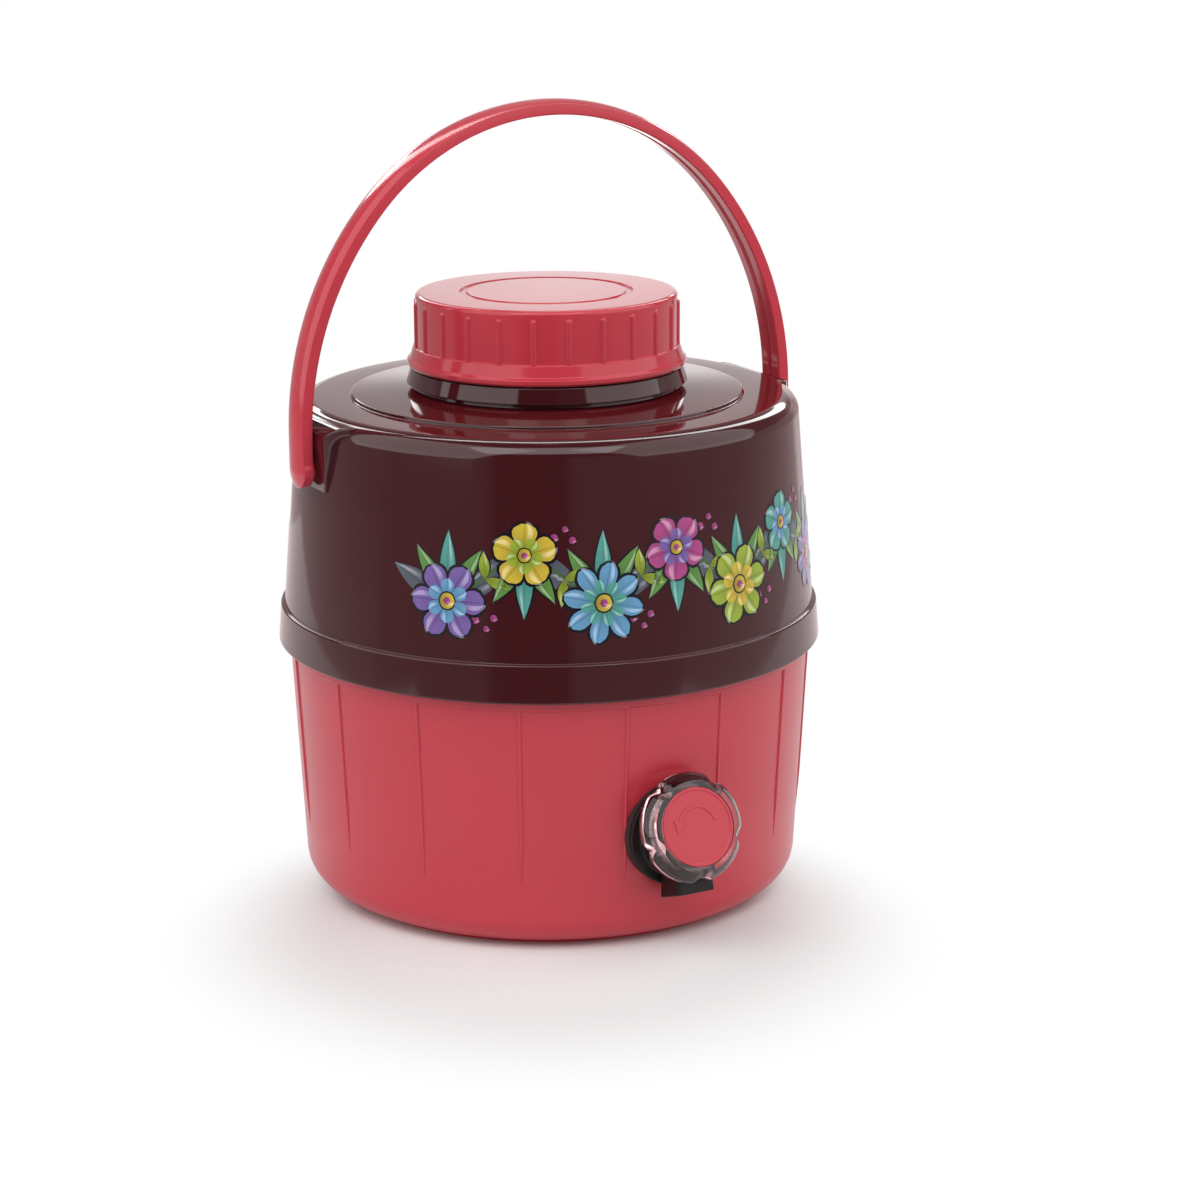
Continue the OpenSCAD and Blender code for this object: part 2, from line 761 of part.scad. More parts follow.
// Tap body: flange, shank, barrel and spout
module tap_body() {
  channel_w = spout_w - 2 * spout_wall;
  channel_t = spout_t - 2 * spout_wall;
  channel_top = plug_r + 3;
  color(BLACK)
    difference() {
      union() {
        shank_rod(flange_r, flange_y, flange_y + flange_t);
        shank_rod(flange_step_r, flange_y, flange_y + flange_t + flange_step_t);
        shank_rod(shank_r, nut_y - nut_t - 2, flange_y + 1);
        intersection() {
          tap_frame() {
            barrel_rod(barrel_r, -10, barrel_l);
            translate([-spout_w / 2, -spout_l, spout_back]) cube([spout_w, spout_l, spout_t]);
          }
          translate([-flange_r, -flange_y - 2 * flange_r, 0]) cube([2 * flange_r, 2 * flange_r, 2 * tap_z]);
        }
      }
      shank_rod(shank_bore_r, nut_y - nut_t - 3, tap_y + 1.5);
      tap_frame() {
        barrel_rod(plug_r + run_gap, plug_back, seat_at + 1);
        barrel_rod(gland_r + run_gap, seat_at, barrel_l + 1);
        translate([0, 0, port_at]) rotate([90, 0, 0]) cylinder(r = port_r, h = channel_top + 1);
        translate([-channel_w / 2, -spout_l - 1, spout_back + spout_wall])
          cube([channel_w, spout_l + 1 - channel_top, channel_t]);
      }
    }
}

// Outer washer, shaped to the round case
module tap_washer() {
  color(RUBBER)
    difference() {
      shank_rod(flange_r - nest_gap, tap_y - 6, flange_y);
      rotate_extrude($fn = 720) lower_outline(-nest_gap / 2, tongue_z);
      case_ribs(nest_gap / 2);
      shank_rod(shank_r + nest_gap, tap_y - 7, flange_y + 1);
    }
}

// Spacer tube between the case and the vessel
module outlet_sleeve() {
  color(WHITE)
    difference() {
      shank_rod(sleeve_r, vessel_pad_y, tap_y - case_wall - case_pad_t);
      shank_rod(shank_r + nest_gap, vessel_pad_y - 1, tap_y);
    }
}

// Flat washer inside the vessel
module tap_inner_washer() {
  color(RUBBER)
    difference() {
      shank_rod(nut_r - 1, nut_y, vessel_pad_in_y);
      shank_rod(shank_r + nest_gap, nut_y - 1, vessel_pad_in_y + 1);
    }
}

// Six-sided nut on the shank inside the vessel
module tap_nut() {
  color(WHITE)
    difference() {
      translate([0, -nut_y + nut_t, tap_z]) rotate([90, 0, 0]) cylinder(r = nut_r, h = nut_t, $fn = 6);
      shank_rod(shank_r + run_gap, nut_y - nut_t - 1, nut_y + 1);
    }
}

// Rotary plug: hollow at the back, a side port, a shoulder and a stem with a square drive
module valve_plug() {
  drive_end = hub_at + hub_t - 0.2;
  color(WHITE)
    tap_frame()
      difference() {
        union() {
          barrel_rod(plug_r, plug_back + seat_gap, seat_at + 1);
          barrel_rod(shoulder_r, seat_at + seat_gap, seat_at + seat_gap + shoulder_t);
          barrel_rod(stem_r, seat_at, hub_at - seat_gap);
          translate([-drive_w / 2, -drive_w / 2, hub_at - 1]) cube([drive_w, drive_w, drive_end - hub_at + 1]);
        }
        barrel_rod(plug_bore_r, 0, port_at + port_r + 0.3);
        translate([0, 0, port_at]) rotate([0, -90, 0]) cylinder(r = port_r, h = plug_r + 1);
        for (at = seal_places())
          translate([0, 0, at]) rotate_extrude() ring_outline(groove_r, plug_r + 1, -groove_half, groove_half);
        barrel_rod(screw_r + nest_gap / 2, screw_at - 0.5, drive_end + 1);
      }
}

// Distances of the two O-rings along the barrel
function seal_places() = [plug_back + 1.6, port_at + port_r + 1.4];

// O-rings on the plug
module plug_seals() {
  color(RUBBER)
    tap_frame()
      for (at = seal_places())
        translate([0, 0, at]) rotate_extrude() translate([plug_r - seal_r, 0]) circle(seal_r);
}

// Ring nut that keeps the plug in the barrel
module gland_nut() {
  color(BLACK)
    tap_frame()
      difference() {
        barrel_rod(gland_r, seat_at + shoulder_t + 2 * seat_gap, barrel_l);
        barrel_rod(stem_r + run_gap, seat_at, barrel_l + 1);
      }
}

// Clear knob with finger scallops
module knob() {
  color(CLEAR)
    tap_frame()
      difference() {
        union() {
          barrel_rod(knob_r, knob_back + 1, knob_front - 1);
          translate([0, 0, knob_back]) cylinder(r1 = knob_r - 1, r2 = knob_r, h = 1);
          translate([0, 0, knob_front - 1]) cylinder(r1 = knob_r, r2 = knob_r - 1, h = 1);
        }
        for (i = [0:scallop_count - 1])
          rotate([0, 0, 360 * i / scallop_count + 54])
            translate([knob_r + scallop_r - scallop_d, 0, knob_back - 1])
              cylinder(r = scallop_r, h = knob_l + 2);
        barrel_rod(barrel_r + 1, knob_back - 1, hub_at);
        translate([-drive_w / 2 - run_gap, -drive_w / 2 - run_gap, hub_at - 1])
          cube([drive_w + 2 * run_gap, drive_w + 2 * run_gap, hub_t + 2]);
        barrel_rod(screw_head_r + 1, hub_at + hub_t, knob_front + 1);
        barrel_rod(insert_r + nest_gap, knob_front - insert_t, knob_front + 1);
      }
}

// Insert disc with a raised turn arrow
module knob_insert() {
  arrow_r = insert_r * 0.5;
  arrow_w = 1.2;
  arrow_h = 0.4;
  color(PINK)
    tap_frame() {
      barrel_rod(insert_r, knob_front - insert_t, knob_front);
      translate([0, 0, knob_front - eps]) {
        rotate([0, 0, 10]) rotate_extrude(angle = 150) ring_outline(arrow_r - arrow_w / 2, arrow_r + arrow_w / 2, 0, arrow_h + eps);
        rotate([0, 0, 160]) translate([arrow_r, 0, 0])
          linear_extrude(arrow_h + eps) polygon([[-3 * arrow_w, 0], [3 * arrow_w, 0], [0, 5 * arrow_w]]);
      }
    }
}

// Screw that holds the knob on the stem
module knob_screw() {
  head_at = hub_at + hub_t;
  color(STEEL)
    tap_frame()
      difference() {
        union() {
          barrel_rod(screw_r, screw_at, head_at + 0.5);
          barrel_rod(screw_head_r, head_at, head_at + screw_head_t);
        }
        for (a = [0, 90])
          rotate([0, 0, a]) translate([-2, -0.35, head_at + screw_head_t - 0.8]) cube([4, 0.7, 1]);
      }
}

lower_shell();
upper_shell();
inner_vessel();
foam_core();
base_plug();
neck_seal();
handle();
lid_cap();
lid_liner();
lid_foam();
lid_gasket();
tap_body();
tap_washer();
outlet_sleeve();
tap_inner_washer();
tap_nut();
valve_plug();
plug_seals();
gland_nut();
knob();
knob_insert();
knob_screw();
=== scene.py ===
import json
from math import atan2, cos, hypot, pi, radians, sin, sqrt, tan
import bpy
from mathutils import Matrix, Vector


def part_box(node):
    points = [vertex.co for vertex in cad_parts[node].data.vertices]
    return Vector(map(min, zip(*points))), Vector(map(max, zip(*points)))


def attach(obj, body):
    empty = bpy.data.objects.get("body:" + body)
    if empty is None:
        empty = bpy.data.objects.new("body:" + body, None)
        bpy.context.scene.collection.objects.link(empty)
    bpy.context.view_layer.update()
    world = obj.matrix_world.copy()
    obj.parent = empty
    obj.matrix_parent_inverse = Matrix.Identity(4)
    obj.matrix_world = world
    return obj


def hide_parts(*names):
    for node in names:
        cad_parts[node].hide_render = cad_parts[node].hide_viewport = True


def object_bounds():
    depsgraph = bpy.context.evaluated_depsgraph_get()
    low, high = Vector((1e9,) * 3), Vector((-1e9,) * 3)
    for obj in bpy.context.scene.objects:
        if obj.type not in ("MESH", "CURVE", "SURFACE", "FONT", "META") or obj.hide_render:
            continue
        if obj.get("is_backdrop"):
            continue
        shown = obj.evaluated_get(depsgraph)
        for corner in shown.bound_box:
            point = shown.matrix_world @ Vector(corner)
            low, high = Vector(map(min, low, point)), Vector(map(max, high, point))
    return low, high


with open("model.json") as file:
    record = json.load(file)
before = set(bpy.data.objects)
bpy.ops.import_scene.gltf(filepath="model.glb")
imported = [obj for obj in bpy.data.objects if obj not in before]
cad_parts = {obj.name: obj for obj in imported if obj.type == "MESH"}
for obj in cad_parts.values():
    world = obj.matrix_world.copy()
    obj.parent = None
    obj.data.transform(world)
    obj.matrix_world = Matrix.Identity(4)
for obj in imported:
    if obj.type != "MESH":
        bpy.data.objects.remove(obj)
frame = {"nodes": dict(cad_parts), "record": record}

from types import SimpleNamespace

import bmesh
import bpy
from bpy.props import FloatProperty, FloatVectorProperty, IntProperty, PointerProperty
from bpy.types import Operator, Panel, PropertyGroup
from mathutils import Matrix, Vector

bl_info = {
    "name": "Insulated Water Jug",
    "version": (1, 0, 0),
    "blender": (4, 5, 0),
    "location": "3D View > Sidebar > Water Jug",
    "description": "Models the visible pieces of an insulated water jug on its packed frame",
    "category": "Object",
}

MM = 0.001
CAD_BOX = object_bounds()
LATHE_STEPS = 192
WELD = 0.01 * MM
# Height of the lower case's tongue inside the upper case, in millimetres
TONGUE_H = 12
# Edges sharper than this are bevelled
SHARP = radians(40)


def linear(code):
    """Linear RGBA of an sRGB hex colour."""
    channels = [int(code[i:i + 2], 16) / 255 for i in (1, 3, 5)]
    return [c / 12.92 if c <= 0.04045 else ((c + 0.055) / 1.055) ** 2.4 for c in channels] + [1.0]


# Sizes and colours that a user would change

def a_length(name, description, default, low=0.0):
    """A setting for a length."""
    return FloatProperty(
        name=name, description=description, default=default, min=low, unit="LENGTH", precision=4)


def an_angle(name, description, degrees):
    """A setting for an angle."""
    return FloatProperty(name=name, description=description, default=radians(degrees), unit="ROTATION")


def a_count(name, description, default, low):
    """A setting for a number of like features."""
    return IntProperty(name=name, description=description, default=default, min=low)


def a_colour(name, description, code):
    """A setting for a colour, from its sRGB hex code."""
    return FloatVectorProperty(
        name=name, description=description, subtype="COLOR", size=4, default=linear(code), min=0, max=1)


class CaseSizes(PropertyGroup):
    """Sizes of the two case halves"""
    lower_r: a_length("Lower radius", "Radius of the lower case at the seam", 0.114, low=0.05)
    seam_z: a_length("Seam height", "Height of the seam between the two case halves", 0.111, low=0.02)
    lower_lean: an_angle("Lower lean", "Outward lean of the lower wall", 3)
    corner_r: a_length("Bottom corner", "Radius of the rounded bottom corner", 0.014, low=0.002)
    foot_r: a_length("Foot radius", "Outer radius of the foot ring", 0.09599, low=0.02)
    wall: a_length("Wall", "Wall thickness of the case", 0.0025, low=0.001)
    upper_r: a_length("Upper radius", "Radius of the upper wall, carried down to the seam", 0.1172, low=0.05)
    upper_lean: an_angle("Upper lean", "Inward lean of the upper wall", 4.6)
    band_h: a_length("Band height", "Height of the stepped-out band over the seam", 0.0163, low=0.004)
    band_proud: a_length("Band step", "How far the band stands out of the upper wall", 0.0016)
    deck_z: a_length("Deck height", "Height of the deck", 0.2176, low=0.1)
    rim_r: a_length("Deck rim", "Radius of the rounded rim of the deck", 0.008, low=0.001)
    step_r: a_length("Deck step radius", "Radius of the ring step on the deck", 0.0849, low=0.02)
    step_h: a_length("Deck step height", "Height of the ring step", 0.0015)
    neck_r: a_length("Neck radius", "Radius of the neck under the lid", 0.057, low=0.02)
    rib_count: a_count("Ribs", "Number of fine ribs on the lower case", 16, low=3)
    rib_r: a_length("Rib bead", "Radius of a rib's bead", 0.0008)
    rib_proud: a_length("Rib height", "How far a rib stands out of the wall", 0.0007)


class LidSizes(PropertyGroup):
    """Sizes of the screw lid"""
    r: a_length("Radius", "Radius of the lid between its grip ribs", 0.0565, low=0.02)
    flange_r: a_length("Flange radius", "Radius of the flared lower flange", 0.0603, low=0.02)
    edge_r: a_length("Top edge", "Radius of the rounded top edge", 0.002)
    groove_r: a_length("Groove radius", "Outer radius of the ring groove in the top", 0.0373, low=0.01)
    groove_d: a_length("Groove depth", "Depth of the ring groove", 0.0007)
    grip_count: a_count("Grip ribs", "Number of grip ribs", 24, low=3)
    grip_r: a_length("Grip rib bead", "Radius of a grip rib's bead", 0.0015)
    grip_proud: a_length("Grip rib height", "How far a grip rib stands out", 0.001)


class HandleSizes(PropertyGroup):
    """Sizes of the bail handle"""
    half: a_length("Half width", "Distance of a leg's centre line from the middle", 0.1168, low=0.05)
    pivot_z: a_length("Pivot height", "Height of the pivot pegs", 0.1955)
    straight: a_length("Straight leg", "Length of a leg's straight part", 0.014)
    arc_r: a_length("Grip arc", "Radius of the arc over the grip", 0.1085, low=0.02)
    arc_rise: a_length("Arc centre", "Height of the grip arc's centre above the straight legs", 0.022)
    width: a_length("Band width", "Width of the handle's band", 0.015)
    thick: a_length("Band thickness", "Thickness of the handle's band", 0.0065)
    crown_r: a_length("Crown", "Crown radius of the outer face", 0.017)
    peg_r: a_length("Peg radius", "Radius of the pivot pegs", 0.005)
    eye_r: a_length("Eye radius", "Radius of the round leg ends", 0.008)


class TapSizes(PropertyGroup):
    """Sizes of the tap and its knob"""
    z: a_length("Height", "Height of the tap's shank", 0.0505)
    tilt: an_angle("Tilt", "Upward tilt of the barrel", 20)
    flange_r: a_length("Flange radius", "Radius of the flange on the case", 0.0225)
    step_r: a_length("Flange step", "Radius of the flange's second step", 0.0185)
    barrel_r: a_length("Barrel radius", "Radius of the barrel", 0.0128)
    spout_w: a_length("Spout width", "Width of the spout", 0.017)
    spout_l: a_length("Spout length", "Distance from the barrel's axis to the outlet", 0.027)
    knob_r: a_length("Knob radius", "Radius of the clear knob", 0.023)
    scallops: a_count("Scallops", "Number of finger scallops", 5, low=2)
    scallop_d: a_length("Scallop depth", "Depth of a finger scallop", 0.0018)
    disc_r: a_length("Disc radius", "Radius of the disc in the knob", 0.0165)


class JugColours(PropertyGroup):
    """Colours of the plastics"""
    pink: a_colour("Pink plastic", "Lower case, lid and handle", "#c23543")
    maroon: a_colour("Maroon plastic", "Upper case", "#3f1418")
    black: a_colour("Black plastic", "Tap body", "#15100f")
    white: a_colour("White plastic", "Vessel and inner pieces", "#e9e7e0")


class JugPrint(PropertyGroup):
    """Layout and inks of the printed vine"""
    flowers: a_count("Flowers", "Number of open flowers in the print", 7, low=1)
    pitch: a_length("Pitch", "Distance between flowers along the wall", 0.032, low=0.01)
    middle_z: a_length("Middle", "Height of the middle of the print", 0.162)
    wave_h: a_length("Wave", "Height of the vine's waves", 0.008)
    flower_r: a_length("Flower radius", "Radius of the widest flowers", 0.0165)
    blue: a_colour("Blue", "Ink of flowers", "#6497bd")
    teal: a_colour("Teal", "Ink of flowers and middle leaves", "#539a90")
    green: a_colour("Green", "Ink of the vine and leaves", "#5d8a44")
    lime: a_colour("Lime", "Ink of flowers and small leaves", "#96a83a")
    yellow: a_colour("Yellow", "Ink of flowers and their middles", "#c9ae3e")
    magenta: a_colour("Magenta", "Ink of flowers and berries", "#a84680")
    violet: a_colour("Violet", "Ink of flowers", "#765c9f")
    smoke: a_colour("Smoke", "Ink of the leaves farthest back", "#575d68")
    outline: a_colour("Outline", "Ink round the motifs", "#17131d")


class JugStage(PropertyGroup):
    """Camera, light and shadow"""
    distance: a_length("Camera distance", "Camera's distance from the jug's axis", 1.3)
    height: a_length("Camera height", "Camera's height above the floor", 0.46832)
    turn: an_angle("Camera turn", "Camera's turn round the jug from the front", 27.5)
    pitch: an_angle("Camera pitch", "Downward tilt of the camera", 14.8437)
    roll: an_angle("Camera roll", "Roll of the camera", -0.4445)
    surround: FloatProperty(
        name="Surround", description="Radiance of the white surround low behind the jug", default=3.4, min=0)
    shadow_r: a_length(
        "Shadow radius", "Radius of the jug's shadow, beyond which the floor is plain white", 0.17, low=0.1)


def millimetres(group):
    """A group's values by name, with its lengths in millimetres."""
    lengths = {p.identifier for p in group.bl_rna.properties if p.unit == "LENGTH"}
    values = {name: getattr(group, name) for name in group.__annotations__}
    return SimpleNamespace(**{name: v / MM if name in lengths else v for name, v in values.items()})


# Modelling steps shared by the pieces

def deselect():
    """Leaves nothing selected and no mode open."""
    if bpy.context.mode != "OBJECT":
        bpy.ops.object.mode_set(mode="OBJECT")
    bpy.ops.object.select_all(action="DESELECT")


def activate(*objs):
    """Selects these objects alone, with the first active."""
    deselect()
    for obj in objs:
        obj.select_set(True)
    bpy.context.view_layer.objects.active = objs[0]


def edit(obj):
    """Opens edit mode on one object with all of it selected."""
    activate(obj)
    bpy.ops.object.mode_set(mode="EDIT")
    bpy.ops.mesh.select_all(action="SELECT")


def extrude(shift):
    """Extrudes the selection in edit mode by a shift in millimetres."""
    bpy.ops.mesh.extrude_region_move(TRANSFORM_OT_translate={"value": Vector(shift) * MM})


def primitive(name, add, **settings):
    """A new primitive under its own name."""
    deselect()
    add(**settings)
    obj = bpy.context.object
    obj.name = obj.data.name = name
    return obj


def pick(obj, kind, test):
    """Selects the vertices, edges or faces that pass a test, in edit mode."""
    bpy.ops.mesh.select_mode(type={"verts": "VERT", "edges": "EDGE", "faces": "FACE"}[kind])
    bpy.ops.mesh.select_all(action="DESELECT")
    mesh = bmesh.from_edit_mesh(obj.data)
    for part in getattr(mesh, kind):
        if test(part):
            part.select_set(True)
    mesh.select_flush_mode()
    bmesh.update_edit_mesh(obj.data)


def arc(x, y, r, start, end, steps):
    """Points of an arc of radius r round (x, y), from one angle in degrees to another."""
    turns = [radians(start + (end - start) * k / steps) for k in range(steps + 1)]
    return [(x + r * cos(a), y + r * sin(a)) for a in turns]


def rounded(corners, closed=True, step=15):
    """Points in millimetres along corners given as (a, b, fillet), with each fillet as an arc."""
    points = []
    count = len(corners)
    for i, (a, b, *fillet) in enumerate(corners):
        here = Vector((a, b))
        radius = fillet[0] if fillet else 0
        if not radius or (not closed and i in (0, count - 1)):
            points.append(here)
            continue
        back = (Vector(corners[i - 1][:2]) - here).normalized()
        ahead = (Vector(corners[(i + 1) % count][:2]) - here).normalized()
        turn = pi - back.angle(ahead)
        reach = radius * tan(turn / 2)
        centre = here + (back + ahead).normalized() * hypot(radius, reach)
        first = here + back * reach - centre
        sign = 1 if back.cross(ahead) < 0 else -1
        steps = max(2, round(turn / radians(step)))
        for k in range(steps + 1):
            points.append(centre + Matrix.Rotation(sign * turn * k / steps, 2) @ first)
    return points


def draw(name, points, closed=True):
    """A line through points in millimetres, drawn by extruding one vertex; leaves edit mode open."""
    points = [Vector(p) * MM for p in points]
    obj = primitive(name, bpy.ops.mesh.primitive_plane_add, size=MM)
    edit(obj)
    bpy.ops.mesh.select_mode(type="VERT")
    bpy.ops.mesh.merge(type="CENTER")
    bpy.ops.transform.translate(value=points[0])
    for here, there in zip(points, points[1:]):
        bpy.ops.mesh.extrude_vertices_move(TRANSFORM_OT_translate={"value": there - here})
    if closed:
        pick(obj, "verts", lambda v: len(v.link_edges) == 1)
        bpy.ops.mesh.edge_face_add()
    bpy.ops.mesh.select_all(action="SELECT")
    return obj


def weld():
    """Closes seams and poles of the mesh in edit mode, turns its faces outwards and leaves edit mode."""
    bpy.ops.mesh.select_all(action="SELECT")
    bpy.ops.mesh.remove_doubles(threshold=WELD)
    bpy.ops.mesh.normals_make_consistent(inside=False)
    deselect()


def lathe(name, corners, closed=True, steps=LATHE_STEPS):
    """A turned solid about Z from its half outline as (radius, height, fillet)."""
    obj = draw(name, [(r, 0, z) for r, z in rounded(corners, closed)], closed)
    bpy.ops.mesh.spin(steps=steps, angle=2 * pi, center=(0, 0, 0), axis=(0, 0, 1))
    weld()
    return obj


def slab(name, points, shift):
    """A solid from a closed outline in millimetres, extruded by shift."""
    obj = draw(name, points)
    bpy.ops.mesh.edge_face_add()
    extrude(shift)
    weld()
    return obj


def modify(obj, kind, **settings):
    """Adds a modifier with its settings and applies it."""
    activate(obj)
    bpy.ops.object.modifier_add(type=kind)
    modifier = obj.modifiers[-1]
    for key, value in settings.items():
        setattr(modifier, key, value)
    bpy.ops.object.modifier_apply(modifier=modifier.name)


def carve(obj, tool, operation="DIFFERENCE"):
    """Cuts obj with a tool solid, which is then deleted."""
    modify(obj, "BOOLEAN", operation=operation, solver="EXACT", object=tool)
    activate(tool)
    bpy.ops.object.delete()


def settle(obj, place=None):
    """Applies an object's place to its mesh."""
    activate(obj)
    if place is not None:
        obj.matrix_world = place
    bpy.ops.object.transform_apply(location=True, rotation=True, scale=True)


def join(obj, *others):
    """Joins other objects into obj."""
    activate(obj, *others)
    bpy.ops.object.join()


def ring_of(count, start):
    """Copies the mesh in edit mode count times round Z, the first at angle start, and leaves edit mode."""
    bpy.ops.mesh.select_all(action="SELECT")
    bpy.ops.transform.rotate(value=-start, orient_axis="Z", center_override=(0, 0, 0))
    bpy.ops.mesh.spin(
        steps=count - 1, dupli=True, angle=2 * pi * (count - 1) / count, center=(0, 0, 0), axis=(0, 0, 1))
    deselect()


def finish_piece(obj, body, slot, material, *nodes, smooth=30):
    """Shades a piece, gives it its material and ties it to the frame."""
    activate(obj)
    bpy.ops.object.shade_smooth_by_angle(angle=radians(smooth))
    modify(obj, "WEIGHTED_NORMAL", keep_sharp=True, weight=60)
    obj.data.materials.clear()
    obj.data.materials.append(material)
    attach(obj, body)
    if nodes:
        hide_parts(*nodes)


# Materials

def add_node(tree, kind, inputs=None, **settings):
    """Adds a node with its settings; an input that is a node or a socket is linked, another is set."""
    node = tree.nodes.new(kind)
    for key, value in settings.items():
        setattr(node, key, value)
    for key, value in (inputs or {}).items():
        if isinstance(value, bpy.types.Node):
            value = next(socket for socket in value.outputs if socket.enabled)
        if isinstance(value, bpy.types.NodeSocket):
            tree.links.new(value, node.inputs[key])
        else:
            node.inputs[key].default_value = value
    return node


def new_material(name):
    """An empty node material, its tree and its object coordinates."""
    material = bpy.data.materials.new(name)
    material.use_nodes = True
    tree = material.node_tree
    tree.nodes.clear()
    place = add_node(tree, "ShaderNodeTexCoord").outputs["Object"]
    return material, tree, place


def moulded(name, colour, roughness, ior, grain_mm, grain_depth_mm, flow_mm, flow_change, **more):
    """Moulded plastic or rubber: faint flow clouds in colour and gloss, and the grain of the mould."""
    if name in bpy.data.materials:
        return bpy.data.materials[name]
    material, tree, place = new_material(name)
    gloss_change = 0.06
    flow = add_node(tree, "ShaderNodeTexNoise", {
        "Vector": place, "Scale": 1 / (flow_mm * MM), "Detail": 3.0, "Roughness": 0.5})
    clouds = {"Value": flow, "From Min": 0.3, "From Max": 0.7}
    shade = add_node(tree, "ShaderNodeMapRange", {
        **clouds, "To Min": 1 - flow_change, "To Max": 1 + flow_change})
    tint = add_node(tree, "ShaderNodeHueSaturation", {
        "Color": list(colour), "Value": shade, "Saturation": 1.0})
    dull = add_node(tree, "ShaderNodeMapRange", {
        **clouds, "To Min": roughness * (1 - gloss_change), "To Max": roughness * (1 + gloss_change)})
    grain = add_node(tree, "ShaderNodeTexNoise", {
        "Vector": place, "Scale": 1 / (grain_mm * MM), "Detail": 2.0, "Roughness": 0.6})
    bump = add_node(tree, "ShaderNodeBump", {
        "Height": grain, "Strength": 1.0, "Distance": grain_depth_mm * MM})
    shader = add_node(tree, "ShaderNodeBsdfPrincipled", {
        "Base Color": tint, "Roughness": dull, "IOR": ior, "Normal": bump, **more})
    add_node(tree, "ShaderNodeOutputMaterial", {"Surface": shader})
    return material


def pink_polypropylene():
    """Injection-moulded polypropylene from a lightly blasted mould: satin, wide soft highlights."""
    return moulded(
        "satin moulded polypropylene pink", bpy.context.scene.jug_colours.pink,
        roughness=0.3, ior=1.49, grain_mm=0.7, grain_depth_mm=0.004, flow_mm=45, flow_change=0.02)


def gloss_polypropylene():
    """Injection-moulded polypropylene from a smoother mould: the lid and handle shine more than the case."""
    return moulded(
        "gloss moulded polypropylene pink", bpy.context.scene.jug_colours.pink,
        roughness=0.14, ior=1.49, grain_mm=1.5, grain_depth_mm=0.003, flow_mm=45, flow_change=0.02,
        **{"Sheen Weight": 0.3, "Sheen Roughness": 0.4, "Sheen Tint": linear("#ffd2d6")})


def maroon_abs():
    """ABS from a polished mould: a slightly wavering mirror gloss, with a red bloom at shallow angles."""
    return moulded(
        "polished moulded ABS maroon", bpy.context.scene.jug_colours.maroon,
        roughness=0.07, ior=1.54, grain_mm=9, grain_depth_mm=0.004, flow_mm=60, flow_change=0.02,
        **{"Sheen Weight": 0.4, "Sheen Roughness": 0.35, "Sheen Tint": linear("#d8343c")})


def black_abs():
    """ABS from an eroded mould: dark satin with a fine even grain."""
    return moulded(
        "satin moulded ABS black", bpy.context.scene.jug_colours.black,
        roughness=0.36, ior=1.54, grain_mm=0.6, grain_depth_mm=0.006, flow_mm=20, flow_change=0.05,
        **{"Specular IOR Level": 0.25})


def white_polypropylene():
    """Blow-moulded natural white polypropylene: waxy, a little uneven, faintly see-through at thin walls."""
    return moulded(
        "moulded polypropylene white", bpy.context.scene.jug_colours.white,
        roughness=0.42, ior=1.49, grain_mm=1.2, grain_depth_mm=0.01, flow_mm=30, flow_change=0.02)


def moulded_rubber():
    """Compression-moulded black rubber: dull, with a dusty bloom."""
    return moulded(
        "moulded rubber", linear("#2b2828"),
        roughness=0.62, ior=1.52, grain_mm=0.5, grain_depth_mm=0.01, flow_mm=12, flow_change=0.08)


def poured_foam():
    """Rigid polyurethane foam: pale yellow skin over closed cells about a millimetre wide."""
    return moulded(
        "rigid polyurethane foam", linear("#dccb96"),
        roughness=0.85, ior=1.45, grain_mm=1.1, grain_depth_mm=0.25, flow_mm=25, flow_change=0.06)


def plated_steel():
    """Zinc-plated steel screw: bright grey metal with fine turning marks."""
    return moulded(
        "zinc-plated steel", linear("#b9bcc0"),
        roughness=0.3, ior=1.5, grain_mm=0.2, grain_depth_mm=0.004, flow_mm=3, flow_change=0.05, Metallic=1.0)


def clear_polystyrene():
    """Polished clear polystyrene: see-through, high index, so its edges catch bright and dark lines; its pale
    pink tint is painted, standing in for the pink plastic seen through it.
    """
    return moulded(
        # Painted refraction: the pale pink colour stands in for the pink case seen through the clear plastic
        "polished clear polystyrene", linear("#efbfc4"),
        roughness=0.03, ior=1.59, grain_mm=6, grain_depth_mm=0.004, flow_mm=15, flow_change=0.01,
        **{"Transmission Weight": 1.0})


